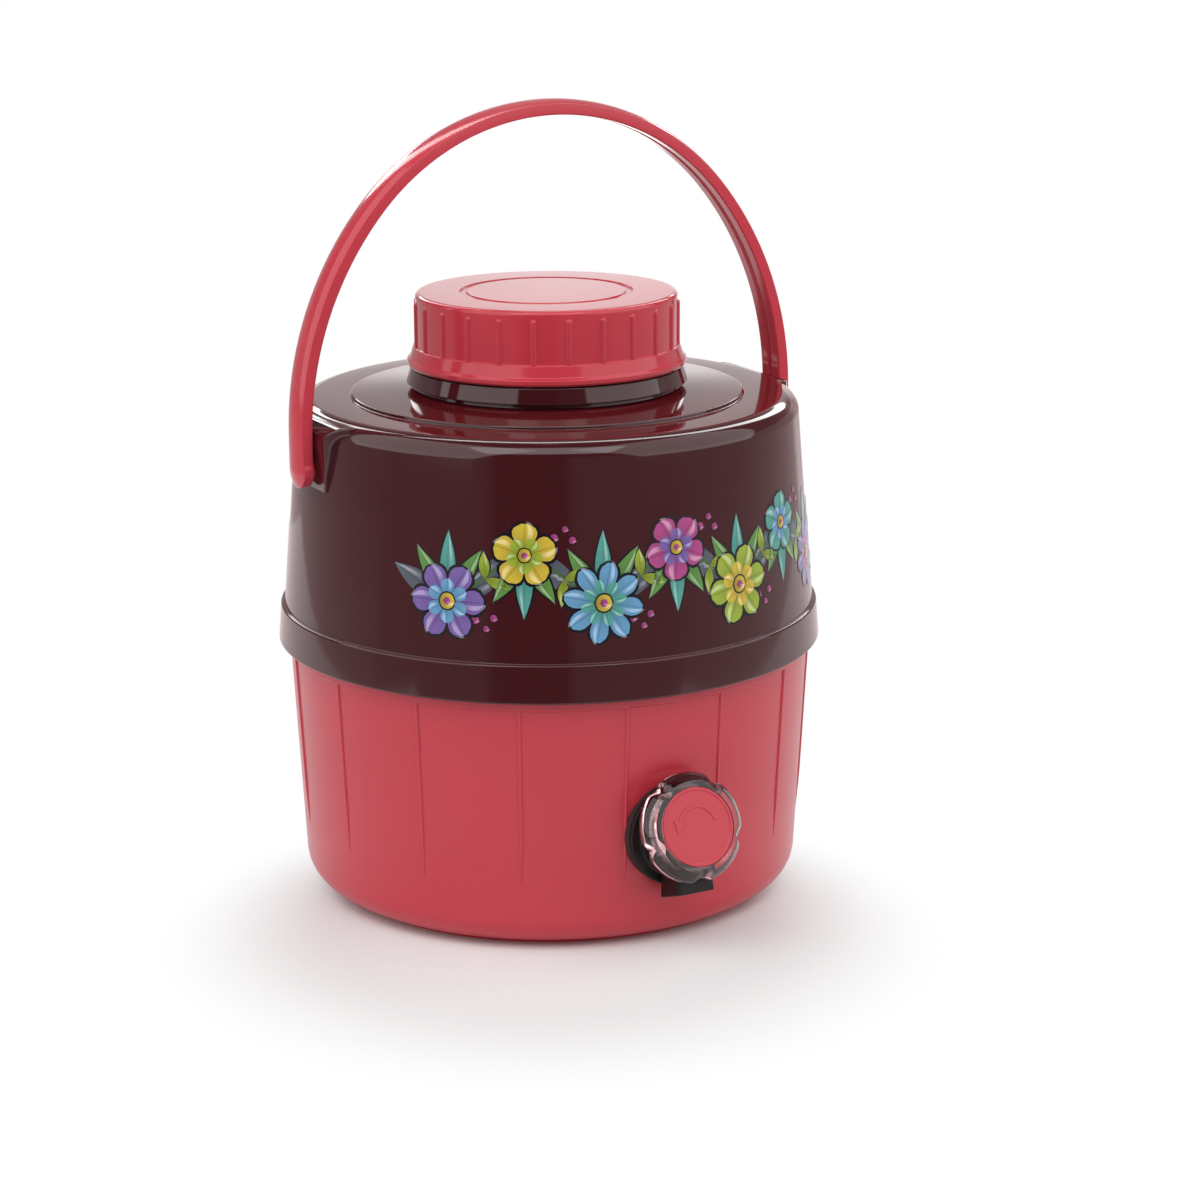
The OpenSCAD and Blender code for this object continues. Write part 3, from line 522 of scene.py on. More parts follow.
def screen_ink():
    """Screen-printed gloss ink: each motif darkens to its stalk, with a fine vein, and a pale painted
    highlight along one side towards its tip.
    """
    material, tree, _ = new_material("screen-printed gloss ink")
    colour = add_node(tree, "ShaderNodeAttribute", attribute_name="ink")
    uv = add_node(tree, "ShaderNodeUVMap", uv_map="UVMap")
    place = add_node(tree, "ShaderNodeSeparateXYZ", {"Vector": uv}).outputs
    tone = add_node(
        tree, "ShaderNodeMapRange", {"Value": place["X"], "From Max": 0.8, "To Min": 0.55, "To Max": 1.05})
    middle = add_node(tree, "ShaderNodeMath", {0: place["Y"], 1: 0.5}, operation="SUBTRACT")
    vein = add_node(
        tree, "ShaderNodeMapRange",
        {"Value": add_node(tree, "ShaderNodeMath", {0: middle}, operation="ABSOLUTE"),
         "From Min": 0.015, "From Max": 0.05, "To Min": 0.7})
    light = add_node(tree, "ShaderNodeMath", {0: tone, 1: vein}, operation="MULTIPLY")
    shaded = add_node(tree, "ShaderNodeVectorMath", {0: colour, "Scale": light}, operation="SCALE")
    # Painted highlight: white added along one side of each motif towards its tip, standing in for a gloss
    # reflection
    aside = add_node(tree, "ShaderNodeMath", {0: place["Y"], 1: 0.27, 2: 0.1}, operation="COMPARE")
    tip = add_node(
        tree, "ShaderNodeMapRange", {"Value": place["X"], "From Min": 0.45, "From Max": 0.7, "To Max": 0.22})
    painted_highlight = add_node(tree, "ShaderNodeMath", {0: aside, 1: tip}, operation="MULTIPLY")
    pale = add_node(tree, "ShaderNodeVectorMath", {0: (1, 1, 1), "Scale": painted_highlight}, operation="SCALE")
    tint = add_node(tree, "ShaderNodeVectorMath", {0: shaded, 1: pale}, operation="ADD")
    shader = add_node(tree, "ShaderNodeBsdfPrincipled", {"Base Color": tint, "Roughness": 0.2, "IOR": 1.5})
    add_node(tree, "ShaderNodeOutputMaterial", {"Surface": shader})
    return material


SLOT_FINISH = {
    "pink_plastic": pink_polypropylene,
    "maroon_plastic": maroon_abs,
    "black_plastic": black_abs,
    "white_plastic": white_polypropylene,
    "clear_plastic": clear_polystyrene,
    "rubber": moulded_rubber,
    "foam": poured_foam,
    "steel": plated_steel,
}


# Pieces

def capsule(name, r, reach, sides=16, taper=0):
    """A bead of radius r up from the origin, its lower end round or tapered; leaves edit mode open."""
    cap = [(0, -r), *arc(0, 0, r, -75, 0, 5)]
    point = [(0, 0), (0.5 * r, 0.4 * taper), (0.8 * r, 0.7 * taper), (r, taper)]
    bead = (point if taper else cap) + [(x, reach - z) for x, z in reversed(cap)]
    obj = lathe(name, bead, closed=False, steps=sides)
    edit(obj)
    return obj


def bore(obj, r, start, end):
    """Drills a round hole of radius r from start to end, in millimetres."""
    start, end = Vector(start) * MM, Vector(end) * MM
    way = end - start
    # A small turn keeps the drill's edges off the seams of turned pieces
    off_seam = radians(2)
    turn = way.to_track_quat("Z", "Y").to_matrix() @ Matrix.Rotation(off_seam, 3, "Z")
    tool = primitive(
        "drill", bpy.ops.mesh.primitive_cylinder_add, vertices=64, radius=r * MM, depth=way.length,
        location=(start + end) / 2, rotation=turn.to_euler())
    carve(obj, tool)


class JUG_OT_upper_case(Operator):
    """Models the glossy upper case: band, wall, deck with its ring step, neck, collar and hinge bosses"""
    bl_idname = "jug.upper_case"
    bl_label = "Upper Case"

    def execute(self, context):
        case = millimetres(context.scene.jug_case)
        handle = millimetres(context.scene.jug_handle)
        slope = tan(case.upper_lean)
        seam = case.seam_z
        band_top = seam + case.band_h
        deck = case.deck_z
        raised = deck + case.step_h
        deck_slope, neck_h, collar_h = radians(2.5), 2.6, 7
        neck_foot = raised + (case.step_r - case.neck_r) * tan(deck_slope)
        collar = neck_foot + neck_h
        collar_top = collar + collar_h
        neck_in = case.neck_r - case.wall

        def wall_r(z):
            return case.upper_r - (z - seam) * slope

        tongue_gap, tongue_top = 0.2, seam + TONGUE_H
        tongue_r = case.lower_r + TONGUE_H * tan(case.lower_lean) + tongue_gap
        obj = lathe("upper_case", [
            (tongue_r, seam, 0.3), (wall_r(seam) + case.band_proud, seam, 0.8),
            (wall_r(band_top) + case.band_proud, band_top, 0.9), (wall_r(band_top), band_top, 0.5),
            (wall_r(deck), deck, case.rim_r), (case.step_r, deck, 0.5), (case.step_r, raised, 0.7),
            (case.neck_r, neck_foot, 1.2), (case.neck_r, collar_top - 1.4, 0.3),
            (case.neck_r + 2.5, collar, 0.3), (case.neck_r + 3.8, collar, 0.5),
            (case.neck_r + 1.8, collar_top, 0.8), (neck_in, collar_top, 0.5), (neck_in, deck - case.wall),
            (wall_r(deck) - case.wall, deck - case.wall, case.rim_r - case.wall),
            (wall_r(tongue_top) - case.wall, tongue_top), (tongue_r, tongue_top),
        ])
        boss = self.boss(case, handle)
        peg_gap, hole_l = 0.05, 7.5
        hole_r = handle.peg_r + peg_gap
        peg_in = handle.half - handle.thick / 2 - hole_l
        for piece in (boss, obj):
            bore(piece, hole_r, (peg_in, 0, handle.pivot_z), (handle.half, 0, handle.pivot_z))
        bore(obj, hole_r, (-peg_in, 0, handle.pivot_z), (-handle.half, 0, handle.pivot_z))
        modify(boss, "MIRROR", use_axis=(True, False, False))
        join(obj, boss)
        finish_piece(obj, "jug", "maroon_plastic", maroon_abs(), "upper_shell")
        return {"FINISHED"}

    def boss(self, case, handle):
        """One flared bracket with a leaning flat face and a rounded upper edge."""
        top = case.deck_z - 1
        low = handle.pivot_z - handle.eye_r - 0.5
        handle_gap, edge_r, lean = 0.74, 9, 4
        foot_half, flare_half, flare_r, lip_h = 13, 27, 10, 3.5
        face_x = handle.half - handle.thick / 2 - handle_gap
        edge_x, edge_z = face_x - edge_r, top - edge_r
        back_x, reach = edge_x - 1, 30
        edge = arc(edge_x, edge_z, edge_r, -lean, 90, 10)
        foot_x = edge[0][0] - (edge[0][1] - low) * tan(radians(lean))
        side = [(back_x, low), (foot_x, low), *edge, (back_x, top)]
        flare = arc(flare_half, top - lip_h - flare_r, flare_r, 180, 90, 8)
        half = [(foot_half, low), *flare, (flare_half, top + 1)]
        front = half + [(-y, z) for y, z in reversed(half)]
        boss = slab("boss", [(x, -reach, z) for x, z in side], (0, 2 * reach, 0))
        carve(boss, slab("boss_front", [(back_x - 5, y, z) for y, z in front], (reach, 0, 0)), "INTERSECT")
        plan_r, flat_half = 43, 12
        plan = primitive(
            "boss_plan", bpy.ops.mesh.primitive_cylinder_add, vertices=240, radius=plan_r * MM,
            depth=2 * top * MM, location=((face_x - sqrt(plan_r ** 2 - flat_half ** 2)) * MM, 0, top * MM))
        carve(boss, plan, "INTERSECT")
        modify(boss, "BEVEL", width=0.8 * MM, segments=4, use_clamp_overlap=False,
               limit_method="ANGLE", angle_limit=SHARP)
        return boss


class JUG_OT_flower_print(Operator):
    """Lays a printed vine with open flowers, leaves and berries round the front of the upper case"""
    bl_idname = "jug.flower_print"
    bl_label = "Flower Print"

    # Widths of the motifs in even steps from stalk to tip
    MOTIFS = {
        "petal": (0, 0.22, 0.44, 0.65, 0.84, 0.97, 1, 0.84, 0.3),
        "leaf": (0.03, 0.5, 0.82, 0.97, 1, 0.9, 0.68, 0.38, 0),
        "dot": (0, 0.66, 0.87, 0.97, 1, 0.97, 0.87, 0.66, 0),
    }
    # Petal ink, inner ink, petals and share of the full radius of each flower in turn
    FLOWERS = (
        ("violet", "blue", 6, 0.95), ("yellow", "lime", 5, 0.78), ("blue", "teal", 8, 1.0),
        ("magenta", "violet", 5, 0.8), ("lime", "yellow", 6, 0.98), ("teal", "blue", 5, 0.75),
        ("violet", "magenta", 8, 0.9),
    )
    # Rise of each layer of ink over the one below and thickness of the ink, in millimetres
    LAYER_RISE, INK_T = 0.04, 0.03

    def execute(self, context):
        case = millimetres(context.scene.jug_case)
        design = millimetres(context.scene.jug_print)
        masters = {name: self.master(name, widths) for name, widths in self.MOTIFS.items()}
        sheets = {}
        for layer, colour, shape, spot, turn, size in self.pattern(design):
            motif = masters[shape].copy()
            motif.data = motif.data.copy()
            context.scene.collection.objects.link(motif)
            motif.matrix_world = self.place(case, design, spot, turn, size)
            sheets.setdefault((layer, colour), []).append(motif)
        sheets[1, "green"] = [self.vine(case, design)]
        wall = context.scene.objects["upper_case"]
        laid = [
            self.lay(wall, motifs, getattr(context.scene.jug_print, colour), self.LAYER_RISE * (layer + 1))
            for (layer, colour), motifs in sheets.items()]
        activate(*masters.values())
        bpy.ops.object.delete()
        join(*laid)
        laid[0].name = laid[0].data.name = "flower_print"
        modify(laid[0], "SOLIDIFY", thickness=self.INK_T * MM, offset=-1)
        finish_piece(laid[0], "jug", "maroon_plastic", screen_ink())
        return {"FINISHED"}

    def master(self, name, widths):
        """A flat motif one unit long on X, its width set row by row."""
        rows = len(widths) - 1
        obj = primitive(name, bpy.ops.mesh.primitive_grid_add, x_subdivisions=rows, y_subdivisions=4, size=1)
        edit(obj)
        bpy.ops.transform.translate(value=(0.5, 0, 0))
        for k, width in enumerate(widths):
            pick(obj, "verts", lambda v: abs(v.co.x - k / rows) < 0.01)
            bpy.ops.transform.resize(value=(1, max(width, 0.001), 1), center_override=(k / rows, 0, 0))
        bpy.ops.mesh.select_all(action="SELECT")
        bpy.ops.mesh.remove_doubles(threshold=0.002)
        deselect()
        return obj

    def place(self, case, design, spot, turn, size):
        """Stands a flat motif on the leaning wall at a spot given as (distance along the wall, height)."""
        along, z = spot
        lean = case.upper_lean
        r = case.upper_r - (z - case.seam_z) * tan(lean)
        angle = along / (case.upper_r - (design.middle_z - case.seam_z) * tan(lean))
        side = Vector((cos(angle), sin(angle), 0))
        up = Vector((-sin(angle) * sin(lean), cos(angle) * sin(lean), cos(lean)))
        axes = Matrix((side, up, side.cross(up))).transposed().to_4x4()
        point = Matrix.Translation(Vector((r * sin(angle), -r * cos(angle), z)) * MM)
        scale = Matrix.Diagonal((size[0] * MM, size[1] * MM, MM, 1))
        return point @ axes @ Matrix.Rotation(turn, 4, "Z") @ scale

    def pattern(self, design):
        """Each motif as (layer, ink, shape, spot, turn, size), from the lowest layer up."""
        for k in range(design.flowers):
            along = (k - (design.flowers - 1) / 2) * design.pitch
            side = 1 if k % 2 else -1
            spot = (along, design.middle_z + side * (design.wave_h + 2))
            petal, inner, count, share = self.FLOWERS[k % len(self.FLOWERS)]
            r = design.flower_r * share
            away = -side * pi / 2
            for fan in (-62, 62):
                yield 0, "smoke", "leaf", spot, away + radians(fan), (r + 13, 9)
            for fan, reach in ((-33, 10), (0, 13), (33, 10)):
                yield 1, "outline", "leaf", spot, away + radians(fan), (r + reach + 0.9, 8.4)
                yield 2, "green" if fan else "teal", "leaf", spot, away + radians(fan), (r + reach, 6.8)
            for j in range(count):
                turn = 2 * pi * j / count + 0.3 * k
                width = 1.1 * tan(pi / count)
                yield 3, "outline", "petal", spot, turn, (r + 0.8, width * r + 2.4)
                yield 4, petal, "petal", spot, turn, (r, width * r)
                yield 5, inner, "petal", spot, turn + pi / count, (0.58 * r, 0.58 * width * r)
            for layer, colour, part in ((6, "outline", 0.5), (7, "yellow", 0.42), (8, "magenta", 0.2)):
                d = part * r
                yield layer, colour, "dot", (spot[0] - d / 2, spot[1]), 0, (d, d)
            middle = (along + design.pitch / 2, design.middle_z)
            for turn in (-side * radians(95), side * radians(20)):
                yield 1, "outline", "leaf", middle, turn, (11.8, 5.6)
                yield 2, "lime", "leaf", middle, turn, (11, 4.4)
            for shift, rise, d in ((-4, 17, 3.4), (0.5, 20.5, 2.6), (3.5, 16, 3)):
                berry = (middle[0] + shift - d / 2, middle[1] + side * rise)
                yield 1, "outline", "dot", (berry[0] - 0.4, berry[1]), 0, (d + 0.8, d + 0.8)
                yield 2, "magenta", "dot", berry, 0, (d, d)

    def vine(self, case, design):
        """A ribbon that waves between the flowers."""
        half = (design.flowers - 1) / 2 * design.pitch
        stalk_w, steps = 1.3, 192
        points = []
        for k in range(steps + 1):
            along = -half + 2 * half * k / steps
            z = design.middle_z - design.wave_h * cos(pi * (along + half) / design.pitch)
            points.append(self.place(case, design, (along, z), 0, (1, 1)).translation / MM)
        vine = draw("vine", points, closed=False)
        extrude((0, 0, stalk_w))
        bpy.ops.mesh.select_all(action="SELECT")
        bpy.ops.mesh.normals_make_consistent(inside=False)
        deselect()
        return vine

    def lay(self, wall, motifs, colour, rise):
        """Joins the motifs of one ink, colours them and lays them rise millimetres over the wall."""
        join(*motifs)
        sheet = motifs[0]
        settle(sheet)
        bpy.ops.geometry.color_attribute_add(
            name="ink", domain="POINT", data_type="FLOAT_COLOR", color=colour)
        modify(sheet, "SHRINKWRAP", target=wall, wrap_method="NEAREST_SURFACEPOINT",
               wrap_mode="ABOVE_SURFACE", offset=rise * MM)
        return sheet


class JUG_OT_lower_case(Operator):
    """Models the satin lower case with its foot ring, rounded corner and fine ribs"""
    bl_idname = "jug.lower_case"
    bl_label = "Lower Case"

    def execute(self, context):
        case = millimetres(context.scene.jug_case)
        tap = millimetres(context.scene.jug_tap)
        lean = case.lower_lean
        base, tongue = 2, case.seam_z + TONGUE_H
        fill_r, foot_in, shank_hole_r = 9.2, case.foot_r - 8, 9.7
        strip_low, strip_top, strip_proud = case.seam_z - 3.8, case.seam_z - 0.2, 0.7
        strip_foot = strip_low - 0.5

        def wall_r(z):
            return case.lower_r - (case.seam_z - z) * tan(lean)

        inside, inner_base = case.wall / cos(lean), base + case.wall
        obj = lathe("lower_case", [
            (fill_r, base), (foot_in, base, 0.5), (foot_in, 0, 0.6), (case.foot_r, 0, 0.6),
            (case.foot_r, base, 0.3), (wall_r(base), base, case.corner_r * 0.93),
            (wall_r(strip_foot), strip_foot, 0.2), (wall_r(strip_low) + strip_proud, strip_low, 0.4),
            (wall_r(strip_top) + strip_proud, strip_top, 0.2), (wall_r(strip_top), strip_top, 0.1),
            (wall_r(tongue), tongue, 0.3), (wall_r(tongue) - inside, tongue, 0.3),
            (wall_r(inner_base) - inside, inner_base, case.corner_r - case.wall), (fill_r, inner_base),
        ])
        tap_y = wall_r(tap.z)
        bore(obj, shank_hole_r, (0, -tap_y + 12, tap.z), (0, -tap_y - 5, tap.z))
        rib_low = 28
        rib = capsule("rib", case.rib_r, (strip_low - rib_low) / cos(lean), sides=12, taper=22)
        bpy.ops.transform.rotate(value=-lean, orient_axis="Y", center_override=(0, 0, 0))
        out = wall_r(rib_low) + case.rib_proud - case.rib_r
        bpy.ops.transform.translate(value=(out * MM, 0, rib_low * MM))
        ring_of(case.rib_count, pi / case.rib_count - pi / 2)
        join(obj, rib)
        finish_piece(obj, "jug", "pink_plastic", pink_polypropylene(), "lower_shell")
        return {"FINISHED"}


class JUG_OT_lid(Operator):
    """Models the screw lid with its flared flange, grip ribs, ring groove and inner thread"""
    bl_idname = "jug.lid"
    bl_label = "Screw Lid"

    def execute(self, context):
        lid = millimetres(context.scene.jug_lid)
        low, high = (corner.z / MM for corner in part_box("lid_cap"))
        inside, top_t = lid.r - 2, 2.7
        rest_r, rest_z = inside - 3, high - 6.2
        flange_top = low + 8.3
        groove = high - lid.groove_d
        obj = lathe("screw_lid", [
            (0, high), (lid.groove_r - 3.2, high, 0.3), (lid.groove_r - 2.9, groove, 0.2),
            (lid.groove_r, groove, 0.2), (lid.groove_r, high, 0.3),
            (lid.r, high, lid.edge_r), (lid.r, flange_top, 0.4), (lid.r + 1, flange_top, 0.4),
            (lid.flange_r - 1.2, low + 3.6, 0.8), (lid.flange_r, low + 2.4, 0.5),
            (lid.flange_r, low + 0.8, 0.5), (lid.flange_r - 0.6, low, 0.3), (inside, low, 0.3),
            (inside, rest_z), (rest_r, rest_z), (rest_r, high - top_t), (0, high - top_t),
        ], closed=False)
        grip_low, grip_top = flange_top - 0.5, high - 3.3
        rib = capsule("grip_rib", lid.grip_r, grip_top - lid.grip_r - grip_low)
        bpy.ops.transform.translate(value=((lid.r + lid.grip_proud - lid.grip_r) * MM, 0, grip_low * MM))
        ring_of(lid.grip_count, radians(-93))
        join(obj, rib, *self.threads(inside, low + 7.5))
        finish_piece(obj, "lid", "pink_plastic", gloss_polypropylene(), "lid_cap")
        return {"FINISHED"}

    def threads(self, root, start_z):
        """The two starts of the inner thread, three quarters of a turn each."""
        lead, turns = 12, 0.75
        section = [(root + 0.4, -1.4), (root - 2, -0.6), (root - 2, 0.6), (root + 0.4, 1.4)]
        threads = []
        for k in range(2):
            obj = draw("thread_%d" % k, [(r, 0, start_z + z) for r, z in section])
            deselect()
            modify(obj, "SCREW", angle=2 * pi * turns, screw_offset=lead * turns * MM,
                   steps=72, render_steps=72, use_normal_calculate=True)
            settle(obj, Matrix.Rotation(pi * k, 4, "Z"))
            edit(obj)
            bpy.ops.mesh.fill_holes(sides=0)
            weld()
            threads.append(obj)
        return threads


class JUG_OT_handle(Operator):
    """Models the bail handle: a crowned, grooved band bent over the lid, round eyes and pivot pegs"""
    bl_idname = "jug.handle"
    bl_label = "Bail Handle"

    def execute(self, context):
        handle = millimetres(context.scene.jug_handle)
        half, rise, arc_r = handle.half, handle.arc_rise, handle.arc_r
        foot, top = handle.pivot_z, handle.pivot_z + handle.straight
        side_r = (half ** 2 + rise ** 2 - arc_r ** 2) / (2 * (half - arc_r))
        side_x = half - side_r
        side_turn = atan2(rise, -side_x)
        out, wide = handle.thick / 2, handle.width / 2

        def crown(v):
            return out - handle.crown_r + sqrt(handle.crown_r ** 2 - v ** 2)

        section = [(crown(wide * k / 8), wide * k / 8) for k in range(-7, 8)]
        section += [
            (crown(wide), wide, 0.4), (-out, wide, 0.9), (-out, 1.7, 0.4), (0.2 - out + 1.2, 1.1, 0.4)]
        section += [(a, -b, f) for a, b, f in reversed(section[-4:])]
        obj = draw("bail_handle", [(half + u, v, foot) for u, v in rounded(section, step=22)])
        turn_axis = (0, 1, 0)
        extrude((0, 0, handle.straight))
        bpy.ops.mesh.spin(steps=20, angle=side_turn, center=(side_x * MM, 0, top * MM), axis=turn_axis)
        bpy.ops.mesh.spin(
            steps=56, angle=pi - 2 * side_turn, center=(0, 0, (top + rise) * MM), axis=turn_axis)
        bpy.ops.mesh.spin(steps=20, angle=side_turn, center=(-side_x * MM, 0, top * MM), axis=turn_axis)
        extrude((0, 0, -handle.straight))
        bpy.ops.mesh.select_all(action="SELECT")
        bpy.ops.mesh.fill_holes(sides=0)
        weld()
        join(obj, self.eye(handle, crown), self.eye(handle, crown, -1))
        finish_piece(obj, "handle", "pink_plastic", gloss_polypropylene(), "handle")
        return {"FINISHED"}

    def eye(self, handle, crown, side=1):
        """The round end of a leg with its pivot peg, turned about X."""
        out, peg_l = handle.thick / 2, 7
        dome = [(handle.eye_r * k / 8, crown(handle.eye_r * k / 8)) for k in range(8)]
        eye = lathe("eye", [
            *dome, (handle.eye_r, crown(handle.eye_r), 0.5), (handle.eye_r, -out, 0.8),
            (handle.peg_r, -out, 0.3), (handle.peg_r, -out - peg_l, 0.5), (0, -out - peg_l),
        ], closed=False, steps=64)
        spot = Vector((side * handle.half, 0, handle.pivot_z)) * MM
        settle(eye, Matrix.Translation(spot) @ Matrix.Rotation(side * pi / 2, 4, "Y"))
        return eye


def tap_place(context, tilted=True):
    """Where the tap's pieces stand: Z outwards along the barrel, or along the shank when not tilted."""
    case, tap = context.scene.jug_case, context.scene.jug_tap
    wall = case.lower_r - (case.seam_z - tap.z) * tan(case.lower_lean)
    turn = pi / 2 - (tap.tilt if tilted else 0)
    return Matrix.Translation((0, -wall, tap.z)) @ Matrix.Rotation(turn, 4, "X")


class JUG_OT_tap(Operator):
    """Models the black tap: flange and shank through the case, tilted barrel and boxy spout"""
    bl_idname = "jug.tap"
    bl_label = "Tap Body"

    def execute(self, context):
        tap = millimetres(context.scene.jug_tap)
        bore_r, shank_r, shank_end, dish_r, dish_z = 5.5, 9.5, -33.9, 15.4, 5.4
        back, step_z, face_z = 2, 4.5, 6
        flange = lathe("tap_casting", [
            (bore_r, shank_end), (shank_r, shank_end, 0.6), (shank_r, back), (tap.flange_r, back, 0.3),
            (tap.flange_r, step_z, 0.9), (tap.step_r, step_z, 0.3), (tap.step_r, face_z, 0.7),
            (dish_r, face_z, 0.2), (dish_r, dish_z, 0.2), (bore_r, dish_z),
        ], steps=128)
        settle(flange, tap_place(context, tilted=False))
        plug_r, plug_z, gland_r, gland_z = 6.5, 1, 10.65, 12
        inner_end, outer_end = -6, 16
        barrel = lathe("barrel", [
            (0, plug_z), (plug_r, plug_z), (plug_r, gland_z), (gland_r, gland_z), (gland_r, outer_end, 0.2),
            (tap.barrel_r, outer_end, 0.6), (tap.barrel_r, inner_end), (0, inner_end),
        ], closed=False, steps=128)
        settle(barrel, tap_place(context))
        spout = self.spout(context, tap)
        for piece in (barrel, spout):
            self.trim(context, piece)
        join(flange, barrel, spout)
        finish_piece(flange, "jug", "black_plastic", black_abs(), "tap_body")
        return {"FINISHED"}

    def spout(self, context, tap):
        """A box with soft edges and an open channel at its lower end."""
        half, length, back, front = tap.spout_w / 2, tap.spout_l, -5.7, 11.5
        wall, roof = 2.4, 9.6
        spout = slab("spout", [
            (-half, 0, back), (half, 0, back), (half, 0, front), (-half, 0, front)], (0, -length, 0))
        edit(spout)
        pick(spout, "faces", lambda f: f.normal.y < -0.5)
        bpy.ops.mesh.inset(thickness=wall * MM)
        extrude((0, length - roof, 0))
        weld()
        modify(spout, "BEVEL", width=0.9 * MM, segments=4, limit_method="ANGLE", angle_limit=SHARP)
        settle(spout, tap_place(context))
        return spout

    def trim(self, context, piece):
        """Cuts off what lies behind the flange's face."""
        face = tap_place(context, tilted=False) @ Vector((0, 0, 4.8 * MM))
        edit(piece)
        bpy.ops.mesh.bisect(plane_co=face, plane_no=(0, 1, 0), clear_outer=True, use_fill=True)
        deselect()


class JUG_OT_knob(Operator):
    """Models the clear scalloped knob and the disc with a raised turn arrow in it"""
    bl_idname = "jug.knob"
    bl_label = "Turn Knob"

    def execute(self, context):
        tap = millimetres(context.scene.jug_tap)
        back, shoulder, front, disc_t = 12.6, 17.5, 22, 1.5
        stem_r, barrel_gap, pocket_end, face_share = 4.3, 1, 16.5, 0.83
        dip, first_dip = radians(13), radians(54)
        pitch = 2 * pi / tap.scallops

        def rim_r(angle):
            off = (angle - first_dip + pitch / 2) % pitch - pitch / 2
            return tap.knob_r - (tap.scallop_d * (1 + cos(pi * off / dip)) / 2 if abs(off) < dip else 0)

        angles = [radians(k * 1.5) for k in range(240)]
        rim = [(rim_r(a) * cos(a), rim_r(a) * sin(a), back) for a in angles]
        knob = slab("turn_knob", rim, (0, 0, shoulder - back))
        edit(knob)
        pick(knob, "faces", lambda f: f.normal.z > 0.5)
        extrude((0, 0, front - shoulder))
        bpy.ops.transform.resize(value=(face_share, face_share, 1), center_override=(0, 0, front * MM))
        for edge_z, chamfer in ((back, 1.2), (shoulder, 1.3), (front, 0.5)):
            pick(knob, "edges", lambda e: all(abs(v.co.z - edge_z * MM) < WELD for v in e.verts))
            bpy.ops.mesh.bevel(offset=chamfer * MM, segments=4, affect="EDGES")
        deselect()
        bore(knob, tap.disc_r + 0.2, (0, 0, front - disc_t), (0, 0, front + 1))
        bore(knob, stem_r, (0, 0, back), (0, 0, front))
        bore(knob, tap.barrel_r + barrel_gap, (0, 0, back - 1), (0, 0, pocket_end))
        settle(knob, tap_place(context))
        finish_piece(knob, "knob", "clear_plastic", clear_polystyrene(), "knob")
        self.disc(context, tap, front, disc_t)
        return {"FINISHED"}

    def disc(self, context, tap, front, disc_t):
        """The disc with a raised border and an anticlockwise turn arrow."""
        disc = lathe("knob_disc", [
            (0, front - disc_t), (tap.disc_r, front - disc_t, 0.2), (tap.disc_r, front, 0.5),
            (tap.disc_r - 1.3, front, 0.3), (tap.disc_r - 1.6, front - 0.35, 0.3), (0, front - 0.2),
        ], closed=False, steps=128)
        mid_r, half_w, tail, tip = tap.disc_r * 0.52, 0.75, 10, 160
        head_half, head_l = 3.2, 5.4
        outline = arc(0, 0, mid_r + half_w, tail, tip, 24)
        head = [(mid_r + head_half, -0.4), (mid_r, head_l), (mid_r - head_half, -0.4)]
        outline += [tuple(Matrix.Rotation(radians(tip), 2) @ Vector(p)) for p in head]
        outline += reversed(arc(0, 0, mid_r - half_w, tail, tip, 24))
        arrow = slab("arrow", [(x, y, front - 0.6) for x, y in outline], (0, 0, 0.7))
        modify(arrow, "BEVEL", width=0.25 * MM, segments=3, limit_method="ANGLE", angle_limit=SHARP)
        join(disc, arrow)
        settle(disc, tap_place(context))
        finish_piece(disc, "knob", "pink_plastic", pink_polypropylene(), "knob_insert")


class JUG_OT_inner_pieces(Operator):
    """Gives the pieces that stay as the frame has them their finishes"""
    bl_idname = "jug.inner_pieces"
    bl_label = "Inner Pieces"

    def execute(self, context):
        for part in frame["record"]["subparts"]:
            obj = frame["nodes"][part["node"]]
            obj.data.materials.clear()
            obj.data.materials.append(SLOT_FINISH[part["material_slot"]]())
        return {"FINISHED"}


